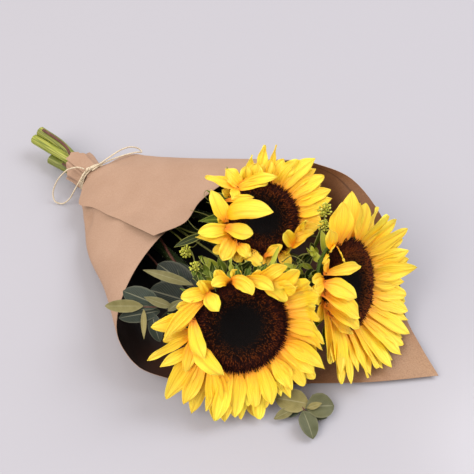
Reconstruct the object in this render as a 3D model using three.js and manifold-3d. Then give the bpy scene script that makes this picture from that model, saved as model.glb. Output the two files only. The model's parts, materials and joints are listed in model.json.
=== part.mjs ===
// Bunch of three sunflowers with eucalyptus and seeded sprays, rolled in kraft paper and tied with twine.
// Millimetres, +Z up. The bunch lies on its side, cut stems towards -X and flower heads towards +X.
// Every shape is first placed in a working frame whose X and Y start under the near flower's disc.

import * as THREE from 'three';
import { mergeVertices } from 'three/addons/utils/BufferGeometryUtils.js';
import Module from 'manifold-3d';

const wasm = await Module();
wasm.setup();

// Driving dimensions
const GAP = 0.3;
const PETAL_THICK = 0.9;
const BRACT_THICK = 0.9;
const LEAF_THICK = 0.9;
const DISC_DEPTH = 4.6;
const RING_WIDTH = 3;
const RING_SIDES = 26;
const SUNFLOWER_STEM_RADIUS = 4.7;
const TWIG_RADIUS = 1.2;
const PAPER_THICK = 0.8;
const PAPER_FLAT = PAPER_THICK / 2;
const NECK = { x: -260, y: 0, z: 17.2, inner: 14.2, overlap: 1.5 };
const TWINE_RADIUS = 0.8;
const TWINE_TURNS = [-1.75, 0, 1.75];
const SEEDS_A_HEAD = 10;
const GOLDEN_ANGLE = 2.39996;
const CUT_END_X = -356;

const point = (x, y, z) => new THREE.Vector3(x, y, z);
const radians = THREE.MathUtils.degToRad;
const mix = THREE.MathUtils.lerp;
const smooth = THREE.MathUtils.smoothstep;

// Turns a fixed seed into repeatable draws from 0 to 1
function drawsFrom(seed) {
  let state = seed;
  return () => {
    state = (state * 16807) % 2147483647;
    return state / 2147483647;
  };
}

// Closed body from shared points and triangles
function solidOf(points, faces) {
  const vertProperties = new Float32Array(points.flatMap((p) => [p.x, p.y, p.z]));
  const triVerts = new Uint32Array(faces.flat());
  return new wasm.Manifold(new wasm.Mesh({ numProp: 3, vertProperties, triVerts }));
}

function solidFromGeometry(geometry) {
  geometry.deleteAttribute('normal');
  geometry.deleteAttribute('uv');
  const merged = mergeVertices(geometry);
  const vertProperties = new Float32Array(merged.attributes.position.array);
  const triVerts = new Uint32Array(merged.index.array);
  return new wasm.Manifold(new wasm.Mesh({ numProp: 3, vertProperties, triVerts }));
}

function geometryOf(solid) {
  const mesh = solid.getMesh();
  const geometry = new THREE.BufferGeometry();
  geometry.setAttribute('position', new THREE.BufferAttribute(mesh.vertProperties, 3));
  geometry.setIndex(new THREE.BufferAttribute(mesh.triVerts, 1));
  return geometry;
}

function fuse(solids) {
  return solids.reduce((whole, piece) => whole.add(piece));
}

// The same body without the odd seed that touches nothing
function withoutScraps(solid) {
  return solid.decompose().reduce((largest, piece) => (piece.volume() > largest.volume() ? piece : largest));
}

// Skin over a row of closed loops with as many points each; a loop of one point is a tip
function loft(loops) {
  const points = loops.flat();
  const starts = [];
  loops.reduce((start, loop, i) => (starts[i] = start) + loop.length, 0);
  const faces = [];
  const sides = Math.max(...loops.map((loop) => loop.length));
  loops.slice(1).forEach((next, i) => {
    const a = starts[i];
    const b = starts[i + 1];
    for (let k = 0; k < sides; k += 1) {
      const k1 = (k + 1) % sides;
      if (next.length === 1) {
        faces.push([a + k, a + k1, b]);
      } else if (loops[i].length === 1) {
        faces.push([a, b + k1, b + k]);
      } else if (k % 2 === 0) {
        faces.push([a + k, a + k1, b + k1], [a + k, b + k1, b + k]);
      } else {
        faces.push([a + k, a + k1, b + k], [a + k1, b + k1, b + k]);
      }
    }
  });
  const last = starts[loops.length - 1];
  for (let k = 1; k < sides - 1; k += 1) {
    if (loops[0].length > 1) faces.push([0, k + 1, k]);
    if (loops[loops.length - 1].length > 1) faces.push([last, last + k, last + k + 1]);
  }
  return solidOf(points, volumeOf(points, faces) < 0 ? faces.map(([p, q, r]) => [p, r, q]) : faces);
}

function volumeOf(points, faces) {
  return faces.reduce((sum, [a, b, c]) => sum + points[a].dot(points[b].clone().cross(points[c])), 0) / 6;
}

// Round stem or twine along a smooth curve through the given points, its radius changing evenly
function tube(path, startRadius, endRadius, { sides = 8, steps = 16, closed = false } = {}) {
  const curve = new THREE.CatmullRomCurve3(path, closed, 'centripetal');
  const frames = curve.computeFrenetFrames(steps, closed);
  const loops = [];
  for (let i = 0; i <= steps; i += 1) {
    const centre = curve.getPointAt(i / steps);
    const radius = mix(startRadius, endRadius, i / steps);
    loops.push(ringOf(centre, frames.normals[i], frames.binormals[i], radius, sides));
  }
  return loft(loops);
}

function ringOf(centre, across, up, radius, sides) {
  return Array.from({ length: sides }, (_, k) => {
    const angle = (2 * Math.PI * k) / sides;
    return centre.clone()
      .addScaledVector(across, radius * Math.cos(angle))
      .addScaledVector(up, radius * Math.sin(angle));
  });
}

// Thin blade of diamond section; each station has its two edges, its middle and its thickness direction
function blade(stations, thickness) {
  return loft(stations.map(({ left, middle, right, up, width }) => {
    if (width < 0.05) return [middle];
    const half = (thickness / 2) * Math.min(1, 0.7 + width / 20);
    return [
      left,
      middle.clone().addScaledVector(up, half),
      right,
      middle.clone().addScaledVector(up, -half),
    ];
  }));
}

// Sunflowers: disc centre, the way the disc faces, and petals by azimuth, 0 to the right and 90 to the top
const FLOWERS = [
  {
    name: 'near', centre: point(0, -45, 68), facing: point(0.668, -0.409, 0.622), radius: 38,
    petals: 32, bracts: 14, seed: 1101, floor: 1.4, roll: 0,
    lean: [14, 22, 38, 58, 58, 46, 38, 30, 16, 10, 12, 12],
    curl: [-12, -10, -5, 45, 50, -20, -45, -40, -25, -15, -12, -12],
    reach: [37, 32, 38, 34, 36, 37, 38, 44, 44, 42, 34, 37],
    folded: [
      { azimuth: 143, length: 27, width: 11, lean: 118, curl: 60, bend: 0 },
      { azimuth: 100, length: 29, width: 13, lean: 105, curl: 80, bend: -10 },
      { azimuth: 60, length: 25, width: 14, lean: 60, curl: 60, bend: -40 },
      { azimuth: 200, length: 36, width: 13, lean: 58, curl: 20, bend: 62 },
    ],
    stem: [point(-238, -6.2, 15.6), point(-272, -5.6, 14.9), point(CUT_END_X + 26, -7.2, 12.4)],
  },
  {
    name: 'far', centre: point(-59, 42, 84), facing: point(0.467, -0.125, 0.875), radius: 32.5,
    petals: 28, bracts: 13, seed: 2203, floor: 1.4, roll: 8,
    lean: [18, 24, 27, 38, 52, 28, 30, 26, 46, 48, 46, 38],
    curl: [-10, -12, -12, -5, 20, -10, -20, -15, 30, 40, 40, 20],
    reach: [34, 38, 42, 36, 32, 31, 31, 34, 31, 30, 31, 30],
    folded: [
      { azimuth: 181, length: 47, width: 18, lean: 142, curl: 95, bend: 0 },
      { azimuth: 158, length: 31, width: 13, lean: 130, curl: 90, bend: -15 },
      { azimuth: 213, length: 29, width: 13, lean: 128, curl: 90, bend: -12 },
      { azimuth: 322, length: 28, width: 17, lean: 96, curl: 60, bend: 20 },
    ],
    stem: [point(-238, 2.6, 22.5), point(-272, 1.8, 22.3), point(CUT_END_X, -0.6, 23.4)],
  },
  {
    name: 'right', centre: point(33, 53, 64), facing: point(0.834, 0.249, 0.4925), radius: 37.5,
    petals: 30, bracts: 14, seed: 3307, floor: 9, roll: 38,
    lean: [42, 42, 36, 22, 34, 50, 56, 40, 28, 25, 34, 38],
    curl: [-10, -10, -10, -5, 10, 50, 70, 10, -5, -10, -10, -10],
    reach: [42, 42, 40, 38, 38, 32, 32, 36, 45, 46, 48, 47],
    folded: [
      { azimuth: 172, length: 47, width: 15, lean: 138, curl: 90, bend: 0 },
      { azimuth: 188, length: 40, width: 19, lean: 128, curl: 80, bend: 8 },
      { azimuth: 205, length: 38, width: 17, lean: 118, curl: 70, bend: 14 },
      { azimuth: 120, length: 27, width: 9, lean: 130, curl: 60, bend: 25 },
    ],
    stem: [point(-238, 4.4, 11.6), point(-272, 4, 12.4), point(CUT_END_X + 12, 4, 11.8)],
  },
];

const TO_VIEWER_RIGHT = point(1, 1, 0).normalize();

FLOWERS.forEach((flower) => {
  flower.facing.normalize();
  flower.across = TO_VIEWER_RIGHT.clone()
    .addScaledVector(flower.facing, -TO_VIEWER_RIGHT.dot(flower.facing))
    .normalize();
  flower.upward = flower.facing.clone().cross(flower.across);
});

// Room left between each pair of flowers, on both sides of the plane that parts them
const PARTINGS = [
  { pair: [0, 1], room: 2.2 },
  { pair: [0, 2], room: 1.4 },
  { pair: [1, 2], room: 4.5 },
].map(({ pair, room }) => {
  const [a, b] = pair.map((i) => FLOWERS[i]);
  const between = b.centre.clone().sub(a.centre);
  const spare = between.length() - a.radius - b.radius;
  const middle = a.centre.clone().addScaledVector(between.clone().normalize(), a.radius + spare / 2);
  const facing = a.facing.clone().add(b.facing).normalize();
  const normal = between.addScaledVector(facing, -between.dot(facing)).normalize();
  return { pair, room, middle, normal };
});

// Petal tables hold one value for every 30 degrees
function around(table, azimuth) {
  const place = (((azimuth % 360) + 360) % 360) / 30;
  const low = Math.floor(place);
  return mix(table[low % 12], table[(low + 1) % 12], place - low);
}

function easedOver(distance, least, softness) {
  return least + softness * Math.log(1 + Math.exp((distance - least) / softness));
}

// Bends a point of a flower clear of its neighbours and of what the bunch lies on
function keptClear(p, flowerIndex, amount, extraRoom) {
  const moved = p.clone();
  PARTINGS.filter(({ pair }) => pair.includes(flowerIndex)).forEach(({ pair, room, middle, normal }) => {
    const side = pair[0] === flowerIndex ? -1 : 1;
    const distance = side * moved.clone().sub(middle).dot(normal);
    const kept = easedOver(distance, room + extraRoom, 3 + extraRoom);
    moved.addScaledVector(normal, side * amount * (kept - distance));
  });
  const { floor } = FLOWERS[flowerIndex];
  moved.z = mix(moved.z, easedOver(moved.z, floor, 3), amount);
  return moved;
}

function toBunch(flower, x, y, z) {
  return flower.centre.clone()
    .addScaledVector(flower.across, x)
    .addScaledVector(flower.upward, y)
    .addScaledVector(flower.facing, z);
}

// One petal or bract, grown from its root in small steps so that it can curl and bend
function growBlade(flowerIndex, shape, thickness) {
  const flower = FLOWERS[flowerIndex];
  const azimuth = radians(shape.azimuth);
  const outward = point(Math.cos(azimuth), Math.sin(azimuth), 0);
  const aside = point(-Math.sin(azimuth), Math.cos(azimuth), 0);
  const at = outward.clone().multiplyScalar(shape.rootRadius);
  at.z = shape.rootHeight;
  const substeps = 20;
  const stations = [];
  for (let i = 0; i <= substeps; i += 1) {
    const s = i / substeps;
    const rise = radians(shape.lean + shape.curl * (s - 0.5));
    const turn = radians(shape.bend * s);
    const level = outward.clone().multiplyScalar(Math.cos(turn)).addScaledVector(aside, Math.sin(turn));
    const heading = level.clone().multiplyScalar(Math.cos(rise)).add(point(0, 0, Math.sin(rise)));
    const profile = shape.profile[shape.marks.indexOf(i)];
    if (profile !== undefined) {
      const side = aside.clone().multiplyScalar(Math.cos(turn)).addScaledVector(outward, -Math.sin(turn));
      side.applyAxisAngle(heading, radians(shape.twist * s + shape.roll * smooth(s, 0, 0.4)));
      const half = (shape.width / 2) * profile;
      stations.push({ at: at.clone(), side, up: heading.clone().cross(side), half, s });
    }
    at.addScaledVector(heading, shape.length / substeps);
  }
  return blade(stations.map(({ at: centre, side, up, half, s }) => {
    const place = (offset) => {
      const p = centre.clone().addScaledVector(side, offset);
      return keptClear(toBunch(flower, p.x, p.y, p.z), flowerIndex, smooth(s, 0, 0.3), shape.extraRoom);
    };
    const thick = toBunch(flower, up.x, up.y, up.z).sub(flower.centre);
    return { left: place(-half), middle: place(0), right: place(half), up: thick, width: 2 * half };
  }), thickness);
}

const PETAL_FORM = { marks: [0, 7, 14, 20], profile: [0.5, 0.98, 0.85, 0], extraRoom: 2 };
const BRACT_FORM = { marks: [0, 10, 20], profile: [1, 0.75, 0], extraRoom: 0 };

function flowerPetals(flowerIndex) {
  const flower = FLOWERS[flowerIndex];
  const draw = drawsFrom(flower.seed);
  const jitter = (amount) => amount * (2 * draw() - 1);
  const root = { rootRadius: flower.radius + 1.6, rootHeight: -3.4 };
  const shapes = [];
  for (let i = 0; i < flower.petals; i += 1) {
    const azimuth = (360 * i) / flower.petals + jitter(2.5);
    const inner = i % 2;
    shapes.push({
      ...PETAL_FORM,
      azimuth,
      rootRadius: root.rootRadius,
      rootHeight: root.rootHeight + 1.5 * inner,
      length: around(flower.reach, azimuth) * (inner ? 0.94 : 1.04) * (1 + jitter(0.07)),
      width: 14.5 * (1 + jitter(0.12)),
      lean: around(flower.lean, azimuth) + 9 * inner - 3 + jitter(3.5),
      curl: around(flower.curl, azimuth) + jitter(8),
      bend: jitter(9),
      twist: jitter(16),
      roll: -flower.roll * Math.sin(radians(azimuth)),
    });
  }
  flower.folded.forEach((special) => {
    shapes.push({ ...PETAL_FORM, ...root, rootHeight: -1.8, twist: 0, roll: 0, ...special });
  });
  const inner = (flower.radius + GAP) / Math.cos(Math.PI / RING_SIDES);
  const ring = latheRing(inner, inner + RING_WIDTH, -DISC_DEPTH, -1.2);
  const blades = shapes.map((shape) => growBlade(flowerIndex, shape, PETAL_THICK));
  return fuse([placeOnFlower(flower, ring), ...blades]);
}

function latheRing(inner, outer, low, high) {
  const outline = [[inner, low], [outer, low], [outer, high], [inner, high], [inner, low]];
  return new THREE.LatheGeometry(outline.map(([r, z]) => new THREE.Vector2(r, z)), RING_SIDES);
}

// Lathe shapes turn round Y; this sets their axis along the flower's facing
function placeOnFlower(flower, geometry) {
  const basis = new THREE.Matrix4().makeBasis(flower.across, flower.facing, flower.upward.clone().negate());
  basis.setPosition(flower.centre);
  geometry.applyMatrix4(basis);
  return solidFromGeometry(geometry);
}

// Seed disc: a dished dome whose florets stand up in crossing spirals
function flowerDisc(flower) {
  const segments = 36;
  const rings = 7;
  const florets = 0.75;
  const top = [toBunch(flower, 0, 0, -2.4)];
  for (let i = 1; i <= rings; i += 1) {
    const r = (flower.radius * i) / rings;
    const t = i / rings;
    const dome = -2.6 + 7.2 * smooth(t, 0.1, 0.74) - 4.4 * smooth(t, 0.8, 1);
    for (let k = 0; k < segments; k += 1) {
      const angle = (2 * Math.PI * (k + i / 2)) / segments;
      const height = i < rings ? dome + florets * (k % 2 ? -1 : 1) : dome;
      top.push(toBunch(flower, r * Math.cos(angle), r * Math.sin(angle), height));
    }
  }
  const turn = (Math.PI * rings) / segments;
  const under = Array.from({ length: segments }, (_, k) => {
    const angle = (2 * Math.PI * k) / segments + turn;
    return toBunch(flower, flower.radius * Math.cos(angle), flower.radius * Math.sin(angle), -DISC_DEPTH);
  });
  const faces = [];
  const ring = (i, k) => (i === 0 ? 0 : 1 + (i - 1) * segments + ((k + segments) % segments));
  for (let k = 0; k < segments; k += 1) {
    faces.push([0, ring(1, k), ring(1, k + 1)]);
    for (let i = 1; i < rings; i += 1) {
      const [a, b, c, d] = [ring(i, k), ring(i + 1, k), ring(i, k + 1), ring(i + 1, k + 1)];
      faces.push([a, b, c], [c, b, d]);
    }
    const low = top.length + k;
    const lowNext = top.length + ((k + 1) % segments);
    faces.push([ring(rings, k), low, ring(rings, k + 1)], [ring(rings, k + 1), low, lowNext]);
    if (k > 1) faces.push([top.length, lowNext - 1 + (k === segments - 1 ? segments : 0), low - 1]);
  }
  return solidOf([...top, ...under], faces);
}

// Distance from a disc's edge to the nearest parting plane, going outward at an azimuth
function spareOutward(flowerIndex, azimuth) {
  const flower = FLOWERS[flowerIndex];
  const turn = radians(azimuth);
  const outward = toBunch(flower, Math.cos(turn), Math.sin(turn), 0).sub(flower.centre);
  const partings = PARTINGS.filter(({ pair }) => pair.includes(flowerIndex));
  return Math.min(...partings.map(({ pair, middle, normal }) => {
    const side = pair[0] === flowerIndex ? -1 : 1;
    const distance = side * flower.centre.clone().sub(middle).dot(normal);
    const approach = -side * outward.dot(normal);
    return approach > 0.05 ? distance / approach - flower.radius : Infinity;
  }));
}

// Green cup under the head, its pointed bracts, and the thick stem down to its cut end
function flowerStem(flowerIndex) {
  const flower = FLOWERS[flowerIndex];
  const draw = drawsFrom(flower.seed + 7);
  const jitter = (amount) => amount * (2 * draw() - 1);
  const top = -DISC_DEPTH - GAP;
  const outline = [[0, top - 23], [5.4, top - 23], [10, top - 16], [flower.radius * 0.66, top - 10],
    [flower.radius + 0.5, top - 3.4], [flower.radius + 1.5, top], [0, top]];
  const cup = new THREE.LatheGeometry(outline.map(([r, z]) => new THREE.Vector2(r, z)), 16);
  const bracts = Array.from({ length: flower.bracts }, (_, i) => {
    const azimuth = (360 * (i + 0.5)) / flower.bracts + jitter(3);
    return growBlade(flowerIndex, {
      ...BRACT_FORM,
      azimuth,
      rootRadius: flower.radius - 2.5,
      rootHeight: top - 4.5,
      length: Math.min(26 * (1 + jitter(0.1)), 2.5 + spareOutward(flowerIndex, azimuth)),
      width: 11,
      lean: Math.max(around(flower.lean, azimuth) - 33, -12) + jitter(2),
      curl: around(flower.curl, azimuth),
      bend: jitter(10),
      twist: jitter(12),
      roll: -flower.roll * Math.sin(radians(azimuth)),
    }, BRACT_THICK);
  });
  const behind = (distance) => flower.centre.clone().addScaledVector(flower.facing, -distance);
  const path = [behind(22), behind(40), behind(46).lerp(flower.stem[0], 0.35), ...flower.stem];
  const stem = tube(path, SUNFLOWER_STEM_RADIUS + 0.4, SUNFLOWER_STEM_RADIUS, { sides: 8, steps: 15 });
  return fuse([placeOnFlower(flower, cup), stem, ...bracts]);
}

// Kraft paper: one row per line across the sheet, from the near flap's hidden edge round to the top flap
const SHEET = [
  { angle: 72, shoulder: [-240, 13, 33], rim: [-122, 12, 62] },
  { angle: 100, shoulder: [-240, -6, 32.5], rim: [-124, -17, 60] },
  { angle: 122, shoulder: [-241, -16, 29], rim: [-119, -46, 57] },
  { angle: 140, shoulder: [-242, -22, 22], rim: [-109, -73, 54] },
  { angle: 157, shoulder: [-243, -25, 17], rim: [-95, -98, 48] },
  { angle: 172, shoulder: [-244, -27, 12.5], rim: [-81, -112, 40] },
  { angle: 186, shoulder: [-244, -26, 8], rim: [-67, -116, 32] },
  { angle: 202, shoulder: [-243, -23, 4], rim: [-52, -114, 22] },
  { angle: 218, shoulder: [-242, -18, 1.2], rim: [-29, -100, 14] },
  { angle: 240, shoulder: [-241, -10, PAPER_FLAT], rim: [12, -69, 5] },
  { angle: 260, shoulder: [-240, 0, PAPER_FLAT], rim: [49, -20, 3] },
  { angle: 282, shoulder: [-241, 12, PAPER_FLAT], rim: [91, 24, 4] },
  { angle: 304, shoulder: [-246, 25, PAPER_FLAT], rim: [129, 71, 4] },
  { angle: 318, shoulder: [-250, 32, 2], rim: [104, 84, 9] },
  { angle: 334, shoulder: [-254, 39, 8], rim: [77, 102, 12] },
  { angle: 350, shoulder: [-257, 42, 14], rim: [40, 120, 34] },
  { angle: 362, shoulder: [-258, 43, 18], rim: [13, 126, 60] },
  { angle: 374, shoulder: [-258, 42, 22], rim: [-32, 129, 84] },
  { angle: 386, shoulder: [-257, 40, 26], rim: [-62, 122, 92] },
  { angle: 400, shoulder: [-255, 34, 30], rim: [-81, 112, 92] },
  { angle: 416, shoulder: [-250, 22, 35], rim: [-108, 76, 88] },
  { angle: 432, shoulder: [-246, 11, 37.5], rim: [-115, 51, 82] },
  { angle: 448, shoulder: [-243, 0, 38], rim: [-118, 21, 76] },
  { angle: 464, shoulder: [-240, -14, 35], rim: [-113, -2, 70] },
  { angle: 482, shoulder: [-239, -31, 24], rim: [-125, -29, 63.5] },
];

function neckPoint(angle, radius, x) {
  const turn = radians(angle);
  return point(x, NECK.y + radius * Math.cos(turn), NECK.z + radius * Math.sin(turn));
}

function neckRadius(angle) {
  return NECK.inner + NECK.overlap * smooth(angle, 345, 425);
}

// One line across the sheet from the collar's end, through the neck and the shoulder, to the rim
function paperLine(angle, shoulder, rim, rows) {
  const radius = neckRadius(angle);
  const turn = radians(angle);
  const line = [
    neckPoint(angle, radius + 2.2 + 0.8 * Math.sin(3 * turn), NECK.x - 27 + 3 * Math.sin(2 * turn + 1)),
    neckPoint(angle, radius + 0.9 + 0.3 * Math.sin(3 * turn), NECK.x - 13),
    neckPoint(angle, radius, NECK.x - 3),
    neckPoint(angle, radius, NECK.x + 3),
  ];
  const start = line[3].clone().lerp(shoulder, 0.5);
  start.x = mix(line[3].x, shoulder.x, 0.32);
  line.push(start, shoulder.clone());
  for (let i = 1; i <= rows; i += 1) {
    const v = i / rows;
    const p = shoulder.clone().lerp(rim, v);
    const lying = 1 - smooth(shoulder.z, PAPER_FLAT, 6);
    const lifted = shoulder.z + (rim.z - shoulder.z) * smooth(v, 0.78, 1);
    p.z = mix(p.z, Math.min(p.z, lifted), lying);
    line.push(p);
  }
  line.forEach((p) => {
    p.z = Math.max(p.z, PAPER_FLAT);
  });
  return line;
}

function paperWrap() {
  const columns = 2 * (SHEET.length - 1);
  const rows = 5;
  const shoulders = new THREE.CatmullRomCurve3(SHEET.map((row) => point(...row.shoulder)));
  const rims = new THREE.CatmullRomCurve3(SHEET.map((row) => point(...row.rim)));
  const grid = Array.from({ length: columns + 1 }, (_, k) => {
    const u = k / columns;
    const mark = u * (SHEET.length - 1);
    const low = Math.min(Math.floor(mark), SHEET.length - 2);
    const angle = mix(SHEET[low].angle, SHEET[low + 1].angle, mark - low);
    return paperLine(angle, shoulders.getPoint(u), rims.getPoint(u), rows);
  });
  return sheetSolid(grid, PAPER_THICK);
}

// Gives a grid of points its thickness and closes it round the edges
function sheetSolid(grid, thickness) {
  const columns = grid.length;
  const rows = grid[0].length;
  const outside = [];
  const inside = [];
  grid.forEach((line, k) => line.forEach((p, i) => {
    const along = line[Math.min(i + 1, rows - 1)].clone().sub(line[Math.max(i - 1, 0)]);
    const across = grid[Math.min(k + 1, columns - 1)][i].clone().sub(grid[Math.max(k - 1, 0)][i]);
    const normal = across.cross(along).normalize();
    const flat = p.z < PAPER_FLAT + 0.12;
    const offset = flat ? point(0, 0, Math.sign(normal.z) || 1) : normal;
    outside.push(p.clone().addScaledVector(offset, thickness / 2));
    inside.push(p.clone().addScaledVector(offset, -thickness / 2));
    [outside, inside].forEach((list) => {
      const q = list[list.length - 1];
      if (q.z < 0.12) q.z = 0;
    });
  }));
  const at = (k, i, shift) => shift + k * rows + i;
  const far = outside.length;
  const faces = [];
  for (let k = 0; k < columns - 1; k += 1) {
    for (let i = 0; i < rows - 1; i += 1) {
      const [a, b, c, d] = [at(k, i, 0), at(k + 1, i, 0), at(k + 1, i + 1, 0), at(k, i + 1, 0)];
      faces.push([a, b, c], [a, c, d], [a + far, c + far, b + far], [a + far, d + far, c + far]);
    }
  }
  const rimLoop = [];
  for (let k = 0; k < columns - 1; k += 1) rimLoop.push(at(k, 0, 0));
  for (let i = 0; i < rows - 1; i += 1) rimLoop.push(at(columns - 1, i, 0));
  for (let k = columns - 1; k > 0; k -= 1) rimLoop.push(at(k, rows - 1, 0));
  for (let i = rows - 1; i > 0; i -= 1) rimLoop.push(at(0, i, 0));
  rimLoop.forEach((p, i) => {
    const q = rimLoop[(i + 1) % rimLoop.length];
    faces.push([q, p, p + far], [q, p + far, q + far]);
  });
  const points = [...outside, ...inside];
  return solidOf(points, volumeOf(points, faces) < 0 ? faces.map(([p, q, r]) => [p, r, q]) : faces);
}

// Leaf from its root to its tip, arched by sag; up is the way its face looks
function leaf(root, tip, width, { up = [0, 0, 1], sag = 3, round = false } = {}) {
  const start = point(...root);
  const end = point(...tip);
  const along = end.clone().sub(start).normalize();
  const side = point(...up).cross(along).normalize();
  const face = along.clone().cross(side).normalize();
  const marks = [0, 0.2, 0.5, 0.8, 1];
  const shape = round ? [0.14, 0.8, 1, 0.72, 0] : [0.14, 0.7, 1, 0.6, 0];
  return blade(marks.map((s, i) => {
    const middle = start.clone().lerp(end, s).addScaledVector(face, 4 * sag * s * (1 - s));
    const half = (width / 2) * shape[i];
    return {
      left: middle.clone().addScaledVector(side, -half).addScaledVector(face, half * 0.18),
      middle,
      right: middle.clone().addScaledVector(side, half).addScaledVector(face, half * 0.18),
      up: face,
      width: 2 * half,
    };
  }), LEAF_THICK);
}

function sprig({ stem, twigs = [], leaves }) {
  const path = stem.map((p) => point(...p));
  const pieces = [tube(path, TWIG_RADIUS, TWIG_RADIUS * 0.8, { sides: 5, steps: 22 })];
  twigs.forEach((twig) => {
    const twigPath = twig.map((p) => point(...p));
    pieces.push(tube(twigPath, TWIG_RADIUS * 0.85, TWIG_RADIUS * 0.6, { sides: 5, steps: 5 }));
  });
  leaves.forEach(([root, tip, width, options]) => pieces.push(leaf(root, tip, width, options)));
  return fuse(pieces);
}

// Head of small seeds standing out of a slim core
function seedHead(centre, axis, length, draw) {
  const direction = point(...axis).normalize();
  const middle = point(...centre);
  const turn = new THREE.Quaternion().setFromUnitVectors(point(0, 0, 1), direction);
  const core = new THREE.IcosahedronGeometry(1, 0).scale(2.7, 2.7, length * 0.42).applyQuaternion(turn);
  core.translate(middle.x, middle.y, middle.z);
  const pieces = [solidFromGeometry(core)];
  for (let i = 0; i < SEEDS_A_HEAD; i += 1) {
    const t = (i + 0.5) / SEEDS_A_HEAD;
    const angle = i * GOLDEN_ANGLE;
    const r = (2 + 0.7 * draw()) * Math.sqrt(Math.max(0, 1 - (2 * t - 1) ** 2)) + 0.4;
    const p = point(r * Math.cos(angle), r * Math.sin(angle), (t - 0.5) * length * 0.86);
    p.applyQuaternion(turn);
    const seed = new THREE.OctahedronGeometry(1.35, 0).rotateZ(angle).rotateX(draw());
    seed.translate(p.x + middle.x, p.y + middle.y, p.z + middle.z);
    pieces.push(solidFromGeometry(seed));
  }
  return fuse(pieces);
}

const SPRIGS = {
  eucalyptus_near: {
    stem: [[-298, -11, 22], [-262, -10.6, 22.8], [-238, -13, 23], [-150, -30, 31], [-95, -38, 34],
      [-56, -46, 38]],
    twigs: [[[-76, -42, 36], [-66, -57, 45], [-68, -72, 54], [-77, -84, 58]]],
    leaves: [
      [[-76.6, -83.4, 57.9], [-101, -107, 61], 11, { up: [0.3, -0.5, 0.8], sag: 1 }],
      [[-76, -82, 57.6], [-98, -83, 63], 15, { up: [0.3, -0.4, 0.85], sag: 1, round: true }],
      [[-68, -71, 53.4], [-88, -72, 66], 12, { up: [0.5, -0.3, 0.8], sag: 2 }],
      [[-76.6, -83.4, 57.9], [-87, -103, 50], 13, { up: [0.3, -0.5, 0.8], sag: 1, round: true }],
      [[-75, -80.5, 57], [-57, -84, 50], 12, { up: [0.4, -0.5, 0.7], sag: 1 }],
      [[-76.6, -83.4, 57.9], [-54, -106, 44], 9, { up: [0.7, 0.7, 0.1], sag: 1 }],
      [[-68, -71, 53.4], [-56, -94, 38], 14, { up: [0.45, -0.55, 0.7], sag: 2, round: true }],
    ],
  },
  eucalyptus_inner: {
    stem: [[CUT_END_X + 2, 0, 31.5], [-300, -5.6, 28.6], [-262, -7.9, 26.2], [-238, -9, 26.6],
      [-150, -12, 38], [-104, -26, 44], [-70, -34, 50]],
    leaves: [
      [[-72, -33, 50], [-111, -57, 53], 9, { up: [0.3, -0.3, 0.9], sag: 2 }],
      [[-80, -31, 47], [-112, -36, 42], 20, { up: [0.4, -0.3, 0.8], sag: 2, round: true }],
      [[-76, -32, 48], [-103, -56, 36], 18, { up: [0.4, -0.4, 0.8], sag: 1, round: true }],
      [[-72, -33, 50], [-92, -14, 48], 12, { up: [0.3, -0.2, 0.9], sag: 2 }],
      [[-98, -27, 42], [-124, -14, 46], 7, { up: [0.3, -0.3, 0.9], sag: 1 }],
    ],
  },
  eucalyptus_front: {
    stem: [[-292, -3.7, 5], [-262, -3.7, 5.9], [-238, -4, 6], [-150, -20, 6], [-60, -36, 5],
      [10, -40, 6.2], [48, -35, 8], [74, -39, 8]],
    leaves: [
      [[60, -35, 8], [87, -19, 6], 18, { up: [0.1, -0.1, 1], sag: 1.5, round: true }],
      [[66, -37, 8.4], [43, -45, 11], 16, { up: [0.2, -0.2, 1], sag: 1, round: true }],
      [[72, -39, 8], [92, -49, 2.4], 13, { up: [0.2, 0, 1], sag: 1.5, round: true }],
      [[60, -37, 7.6], [44, -55, 3.6], 12, { up: [0.1, -0.2, 1], sag: 1 }],
      [[70, -39, 8.6], [57, -62, 12], 7, { up: [0.3, -0.3, 0.9], sag: 1 }],
      [[71, -38, 8.6], [78, -24, 13], 6, { up: [0.3, -0.3, 0.9], sag: 1 }],
      [[54, -35, 8.4], [50, -21, 8], 9, { up: [0.1, -0.1, 1], sag: 0.5 }],
    ],
  },
  leafy_twig_near: {
    stem: [[-290, 2.4, 29.6], [-262, 1.2, 28.8], [-238, 0, 29.4], [-150, 4, 37], [-80, 8, 40],
      [-34, 5, 46], [-20, 4, 58]],
    leaves: [
      [[-22, 4, 54], [-52, -8, 66], 11, { up: [0.3, -0.2, 0.9], sag: 3 }],
      [[-22, 5, 54], [-34, 14, 62], 11, { up: [0.4, -0.4, 0.8], sag: 3 }],
      [[-20, 4, 55], [-8, 12, 72], 11, { up: [0.4, -0.4, 0.8], sag: 2 }],
      [[-20, 3, 55], [6, 4, 68], 11, { up: [0.4, -0.4, 0.8], sag: 2 }],
      [[-20, 3, 56], [-22, 0, 80], 9, { up: [0.5, -0.8, 0.2], sag: 1 }],
    ],
  },
  leafy_twig_far: {
    stem: [[-296, 10, 23], [-262, 11.1, 23.6], [-238, 13.4, 22.4], [-150, 36, 25], [-90, 46, 33],
      [-40, 52, 46], [-14, 53, 58], [-9, 54, 70]],
    leaves: [
      [[-10, 54, 68], [-12, 66, 90], 9, { up: [1, 0.1, -0.1], sag: 0.5 }],
      [[-10, 53, 68], [-10, 51, 84], 8, { up: [1, 0.1, -0.1], sag: 0.5 }],
      [[-12, 53, 64], [-12, 38, 74], 8, { up: [1, 0.1, -0.1], sag: 0.5 }],
      [[-14, 53, 58], [-8, 30, 64], 9, { up: [1, 0.1, -0.1], sag: 0.5 }],
    ],
  },
};

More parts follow.
